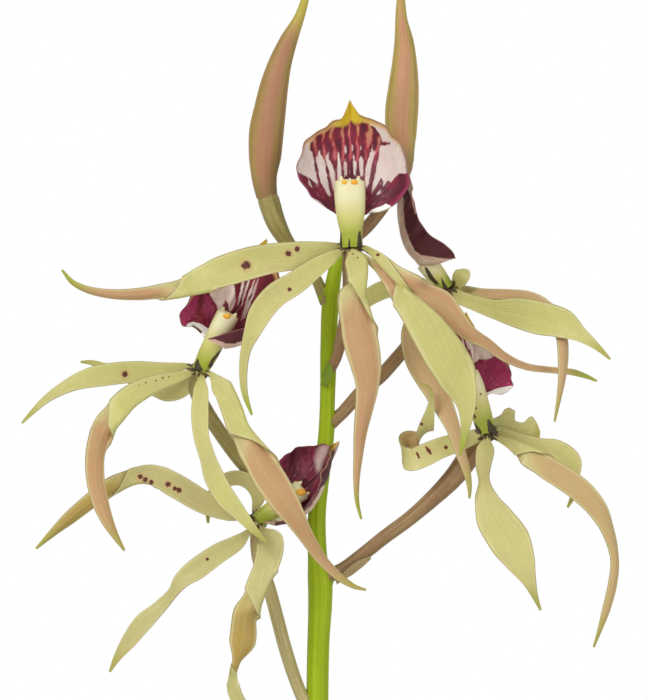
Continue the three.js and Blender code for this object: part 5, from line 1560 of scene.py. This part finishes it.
def make_rhizome(scales, roots):
    def rings(turn, v):
        return 1 + 0.06 * np.abs(np.cos(v * math.pi * SCALE_RINGS)) ** 6 + 0 * turn

    piece = Piece("rhizome")
    add_rod(piece, RHIZOME, sides=28, swell=rings)
    for number, root in enumerate(ROOTS):

        def wander(turn, v):
            return 1 + 0.1 * np.sin(v * 23 + number * 2) + 0.05 * np.sin(3 * turn + v * 31)

        add_rod(piece, root, sides=16, swell=wander, finish=1)
    piece.make(scales, roots)


def make_bulbs(fresh, aged):
    for node, (x, y, height, width) in BULBS.items():
        old = node == "pseudobulb_old"
        depth = 0.075 if old else 0.035

        def ribs(turn, v):
            ridge = np.abs(np.cos(4.5 * turn + 0.25 * np.sin(v * 6))) - 0.5
            ring = np.exp(-(((v - 0.9) / 0.012) ** 2)) + np.exp(-(((v - 0.3) / 0.008) ** 2))
            return 1 + depth * ridge * np.sin(np.pi * v) ** 0.5 + 0.03 * ring

        stations = [
            [x, y, BULB_BASE + up * height, wide * width, wide * width * 0.8] for up, wide in BULB_SHAPE
        ]
        bulb = Piece(node)
        add_rod(bulb, stations, sides=72, step=0.9, swell=ribs)
        bulb.make(aged if old else fresh)


def channel(v):
    """How far a leaf folds along its midrib: deeply at the foot."""
    return 0.09 + 0.3 * np.clip(1 - v / 0.22, 0, 1) ** 1.5


def make_leaves(fresh, aged):
    for node, midrib in LEAVES.items():
        x, y, height, _ = BULBS["pseudobulb_" + node.split("_")[1]]
        foot = [x * 0.75 + midrib[0][0] * 0.25, y * 0.75 + midrib[0][1] * 0.25, BULB_BASE + height - 2, 5]
        stations = [[*station, UP] for station in [foot, *midrib]]
        leaf = Piece(node)
        add_blade(leaf, stations, LEAF_THICKNESS, 24, 1.6, keel=0.5, fold=channel, ripple=0.012)
        leaf.make(aged if node == "leaf_old" else fresh)


# Stem, stalks and buds


def stem_x(z):
    return np.interp(z, [station[2] for station in STEM], [station[0] for station in STEM])


def stem_ribs(turn, v):
    return 1 + 0.018 * np.cos(6 * turn + 2 * v) + 0.012 * np.cos(11 * turn)


def stalk_sides(turn, v):
    """Three blunt sides and fine ribs."""
    return 1 + 0.035 * np.cos(3 * (turn - np.pi / 2)) + 0.015 * np.cos(9 * turn + 3 * v)


def bud_seams(turn, v):
    """Three bulging sepals, with a groove where their margins meet."""
    third = np.abs(np.mod(turn - np.pi / 2 + np.pi / 3, 2 * np.pi / 3) - np.pi / 3)
    margin_line = np.exp(-(((third - np.pi / 3) / 0.1) ** 2))
    closing = np.sin(np.pi * np.clip(v * 1.1, 0, 1))
    return 1 + 0.03 * np.cos(3 * (turn - np.pi / 2)) - 0.07 * margin_line * closing


def make_stem(green):
    stem = Piece("flower_stem")
    add_rod(stem, [[0, 0, 199, 5], *STEM], sides=36, step=0.9, swell=stem_ribs)
    for centre, radii in STEM_KNOBS:
        add_knob(stem, centre, radii)
    stem.make(green)


def make_sheath(papery):
    """The papery sheath, wrapped once round the stem and a little over itself."""
    across = np.linspace(0, 1, 97)
    along = np.linspace(0, 1, 41)
    turns = np.radians(np.linspace(-SHEATH_WRAP, SHEATH_WRAP, len(across)))
    turn, v = np.meshgrid(turns, along)
    torn = 1 - 0.1 * np.abs(np.sin(turn * 2.3)) ** 0.6 - 0.05 * np.abs(np.sin(turn * 7.1))
    radius = SHEATH_RADIUS - 0.75 * v - 0.2 * turn / turns[-1] + 0.12 * np.sin(turn * 9 + v * 5) * v
    lean = np.stack([np.cos(turn), np.sin(turn), 0 * turn], -1)
    height = (SHEATH_FOOT + SHEATH_HEIGHT * v * torn)[..., None] * np.array(UP)
    half = SHEATH_THICKNESS / 2
    inner, outer = (lean * (radius + out)[..., None] + height for out in (-half, half))
    wrap = Piece("stem_sheath")
    wrap.sheet(inner, outer, across, along)
    wrap.make(papery)


def make_stalks(brown, olive, tan):
    skins = {"flower_c_pedicel": olive, "bud_left_pedicel": olive, "flower_d_pedicel": tan}
    for node, stations in STALKS.items():
        x, y, z, wide = stations[0]
        low = z - STALK_DROPS.get(node, 2)
        inside = [stem_x(low) + 0.25 * (x - stem_x(low)), 0.25 * y, low, wide * 1.2]
        heart = HEARTS.get(node.split("_")[1])
        if heart is None:
            top = BUDS[node.replace("_pedicel", "")][0]
            beyond = [top[0], top[1], top[2] + 0.6, top[3] * 0.9]
        else:
            beyond = [*heart, stations[-1][3] * 0.85]
        stalk = Piece(node)
        add_rod(stalk, [inside, *stations, beyond], sides=28, swell=stalk_sides)
        stalk.make(skins.get(node, brown))


def make_buds(skin):
    for node, stations in BUDS.items():
        bud = Piece(node)
        add_rod(bud, stations, sides=48, swell=bud_seams)
        bud.make(skin)


def make_bracts(green, papery):
    for node, stations in BRACTS.items():
        x, y, z = stations[0][:3]
        foot = [x * 0.7 + 0.2, y * 0.8, z - 0.8, 1.6, 0]
        bract = Piece(node)
        add_blade(bract, [foot, *stations], BRACT_THICKNESS, 10, 0.25, keel=0.1, fold=0.2)
        bract.make(green if node.endswith("_a") else papery)


# Flowers


def make_tepals(finishes):
    for node, stations in TEPALS.items():
        letter = node.split("_")[1]
        first = np.array(stations[0][:3])
        foot = first + 0.6 * (np.array(HEARTS[letter]) - first)
        stations = [[*foot, stations[0][3] * 0.9, stations[0][4]], *stations]
        rolls = ROLLS.get(node, ())
        columns, step = (40, 0.35) if rolls else (20, 0.45)
        tepal = Piece(node)
        add_blade(tepal, stations, TEPAL_THICKNESS, columns, step, keel=0.05, ripple=0.02, rolls=rolls)
        tepal.make(finishes[letter])


def nearest_on(line, point):
    """The point of a column's axis nearest to a point of the throat."""
    fine = smooth_line([station[:3] for station in line], np.linspace(0, len(line) - 1, 60))
    return fine[np.argmin(np.linalg.norm(fine - point, axis=1))]


def pointed_line(points, at):
    """Rounded on both sides of its middle point, with a hollow-sided point there."""
    half = (len(points) - 1) // 2
    left = smooth_line(points[: half + 1], np.minimum(at, half))
    right = smooth_line(points[half:], np.maximum(at - half, 0))
    line = np.where((at < half)[:, None], left, right)
    near = np.clip(1 - np.abs(at - half), 0, 1)[:, None]
    base = (np.array(points[0]) + np.array(points[-1])) / 2
    return line + unit(base - line) * 0.8 * np.sin(np.pi * near)


def lip_faces(throat, belly, rim, u, v):
    """The inner and outer face of a lip, from its throat by way of its belly to its rim, with a
    frilled rim, three keels inside and fine folds."""
    near, middle = (smooth_line(line, u * (len(line) - 1))[None] for line in (throat, belly))
    edge = pointed_line(rim, u * (len(rim) - 1))[None]
    u, v = u[None, :, None], v[:, None, None]
    sheet = near * (1 - v) ** 2 + 2 * middle * v * (1 - v) + edge * v**2
    inwards = unit(np.cross(np.gradient(sheet, axis=1), np.gradient(sheet, axis=0)))
    waves = np.sin(u * 57) + 0.6 * np.sin(u * 101 + 1)
    frill = 0.3 * v**4 * waves * np.sin(np.pi * np.clip(u, 0.02, 0.98)) ** 0.5
    frill = frill * np.clip(np.abs(u - 0.5) * 14, 0, 1)
    keels = sum(np.exp(-(((u - place) / 0.012) ** 2)) for place in (0.45, 0.5, 0.55))
    raised = 0.3 * keels * np.exp(-(((v - 0.35) / 0.25) ** 2))
    folds = 0.05 * np.cos((u - 0.5) * 2 * np.pi * 19) * v * (1 - v) * 4
    skin = 0.34 * (1 - 0.62 * v**2)
    sheet = sheet + inwards * frill
    return sheet + inwards * (skin + raised + folds), sheet - inwards * skin


def make_lips(finishes):
    u = np.linspace(0, 1, LIP_COLUMNS + 1)
    v = np.linspace(0, 1, LIP_ROWS + 1)
    for node, lines in LIPS.items():
        letter = node.split("_")[1]
        axis = COLUMNS[f"flower_{letter}_column"]
        throat = [nearest_on(axis, np.array(p)) * 0.4 + np.array(p) * 0.6 for p in lines["throat"]]
        lip = Piece(node)
        lip.sheet(*lip_faces(throat, lines["belly"], lines["rim"], u, v), u, v)
        made = lip.make(finishes[letter])
        for kind in LIP_KINDS:
            draw_areas(made, kind, LIP_AREAS[letter].get(kind, []))


def hood(turn, v):
    """A column's rounded end."""
    return 1 + 0.05 * np.cos(2 * turn) - 0.5 * np.clip((v - 0.965) / 0.035, 0, 1) ** 2


def add_column_end(column, stations, anthers):
    """The teeth and the anther caps at a column's end."""
    top = np.array(stations[-1][:3])
    wide, deep = stations[-1][3:]
    rising = unit(top - np.array(stations[-2][:3]))
    front = unit(VIEWER - VIEWER @ rising * rising)
    across = np.cross(front, rising)
    for side, forward, length, broad in COLUMN_TEETH:
        foot = top + across * side * wide * 0.27 + front * forward - rising * 1.6
        tip = foot + rising * length + across * side * 0.25
        tooth = [[*foot, broad], [*(foot * 0.5 + tip * 0.5), broad * 0.75], [*tip, 0.4]]
        add_rod(column, tooth, sides=12, step=0.3, foot=0.85)
    for side, size in anthers:
        centre = top + across * side * wide * 0.17 + front * (deep * 0.5 - 0.2) - rising * 0.7
        add_knob(column, centre, (size, 0.42, size * 0.7), finish=1)


def make_columns(body, cap):
    for node, stations in COLUMNS.items():
        letter = node.split("_")[1]
        heart = HEARTS[letter]
        column = Piece(node)
        foot = [*heart, stations[0][3] * 0.9, stations[0][4] * 0.9]
        add_rod(column, [foot, *stations], sides=72, step=0.25, swell=hood)
        add_knob(column, np.array(heart) + (0, 0.9, 0), (2.2, 1, 2.2))
        add_column_end(column, stations, ANTHERS[letter])
        made = column.make(body, cap)
        corners = corners_of(made)
        joint = (np.linalg.norm(corners - heart, axis=1) < JOINT_REACH) & (corners[:, 1] > heart[1])
        draw_areas(made, "mark", COLUMN_MARKS.get(letter, []), joint)


# The room


def make_floor():
    disc = Piece("floor")
    add_turned(disc, np.array([(FLOOR_RADIUS, -20), (FLOOR_RADIUS, -0.4)]), sides=96)
    coat = Finish("pale_floor", (236, 236, 234))
    cloud = coat.mottle(0.6)
    coat.tint(cloud, 1, (230, 230, 228))
    put_in_scene("floor", disc.mesh(coat.close(0.7, cloud, 0.1)))


def make_lights():
    """White sky, dimmer as a light than the camera sees it, and three lamps."""
    world = bpy.data.worlds.new("studio")
    world.use_nodes = True
    bpy.context.scene.world = world
    sky = Nodes(world.node_tree)
    seen = sky.add("ShaderNodeLightPath").outputs["Is Camera Ray"]
    ground = world.node_tree.nodes["Background"]
    sky.fill(ground.inputs["Color"], (255, 255, 255))
    sky.fill(ground.inputs["Strength"], sky.times(seen, 1.0 - AMBIENT, AMBIENT))
    for name, place, size, power in LAMPS:
        lamp = bpy.data.lights.new(name, "AREA")
        lamp.shape, lamp.size, lamp.energy = "DISK", size, power
        holder = put_in_scene(name, lamp)
        holder.location = place
        holder.rotation_mode = "QUATERNION"
        holder.rotation_quaternion = (Vector(LAMP_AIM) - Vector(place)).to_track_quat("-Z", "Y")


def make_camera():
    lens = bpy.data.cameras.new("camera")
    lens.sensor_width = SENSOR_WIDTH
    lens.lens = SENSOR_WIDTH * CAMERA_DISTANCE / (PHOTO_SIZE[1] * PIXEL * MM)
    lens.clip_start, lens.clip_end = 0.1, 60
    camera = put_in_scene("camera", lens)
    x, z = from_photo([np.array(PHOTO_SIZE) / 2])[0] * MM
    camera.location = (x, -CAMERA_DISTANCE, z)
    camera.rotation_euler = (math.pi / 2, 0, 0)
    bpy.context.scene.camera = camera
    bpy.context.scene.view_settings.view_transform = "Standard"
    bpy.context.scene.view_settings.look = "None"


make_mottle()
make_veins()
make_streaks()
make_fleck()
make_floor()
make_lights()
make_camera()
make_pot(clay_finish())
make_bark(bark_finish())
make_rhizome(rhizome_finish(), root_finish())
make_bulbs(
    bulb_finish("bulb_fresh", (126, 152, 66), (150, 172, 88), 0.15),
    bulb_finish("bulb_aged", (146, 146, 76), (170, 160, 92), 0.6),
)
make_leaves(
    leaf_finish("leaf_fresh", (84, 128, 44), (104, 146, 56), 0.1),
    leaf_finish("leaf_aged", (116, 136, 52), (142, 152, 66), 0.6),
)
make_stem(stalk_finish("stem", (164, 186, 24), (132, 156, 18), (178, 198, 36)))
make_sheath(sheath_finish("papery_sheath", (206, 188, 146), (168, 142, 98)))
make_stalks(
    stalk_finish("stalk_brown", (162, 128, 92), (124, 94, 64), (178, 150, 106)),
    stalk_finish("stalk_olive", (164, 152, 92), (118, 106, 56), (182, 168, 104)),
    stalk_finish("stalk_tan", (196, 180, 126), (158, 142, 88), (206, 192, 140)),
)
make_buds(bud_finish())
make_bracts(
    stalk_finish("green_bract", (132, 158, 46), (102, 130, 36), (168, 182, 84)),
    sheath_finish("dry_bract", (196, 178, 128), (150, 122, 78)),
)
make_tepals({letter: tepal_finish(letter) for letter in HEARTS})
make_lips({letter: lip_finish(letter) for letter in HEARTS})
make_columns(column_finish(), anther_finish())
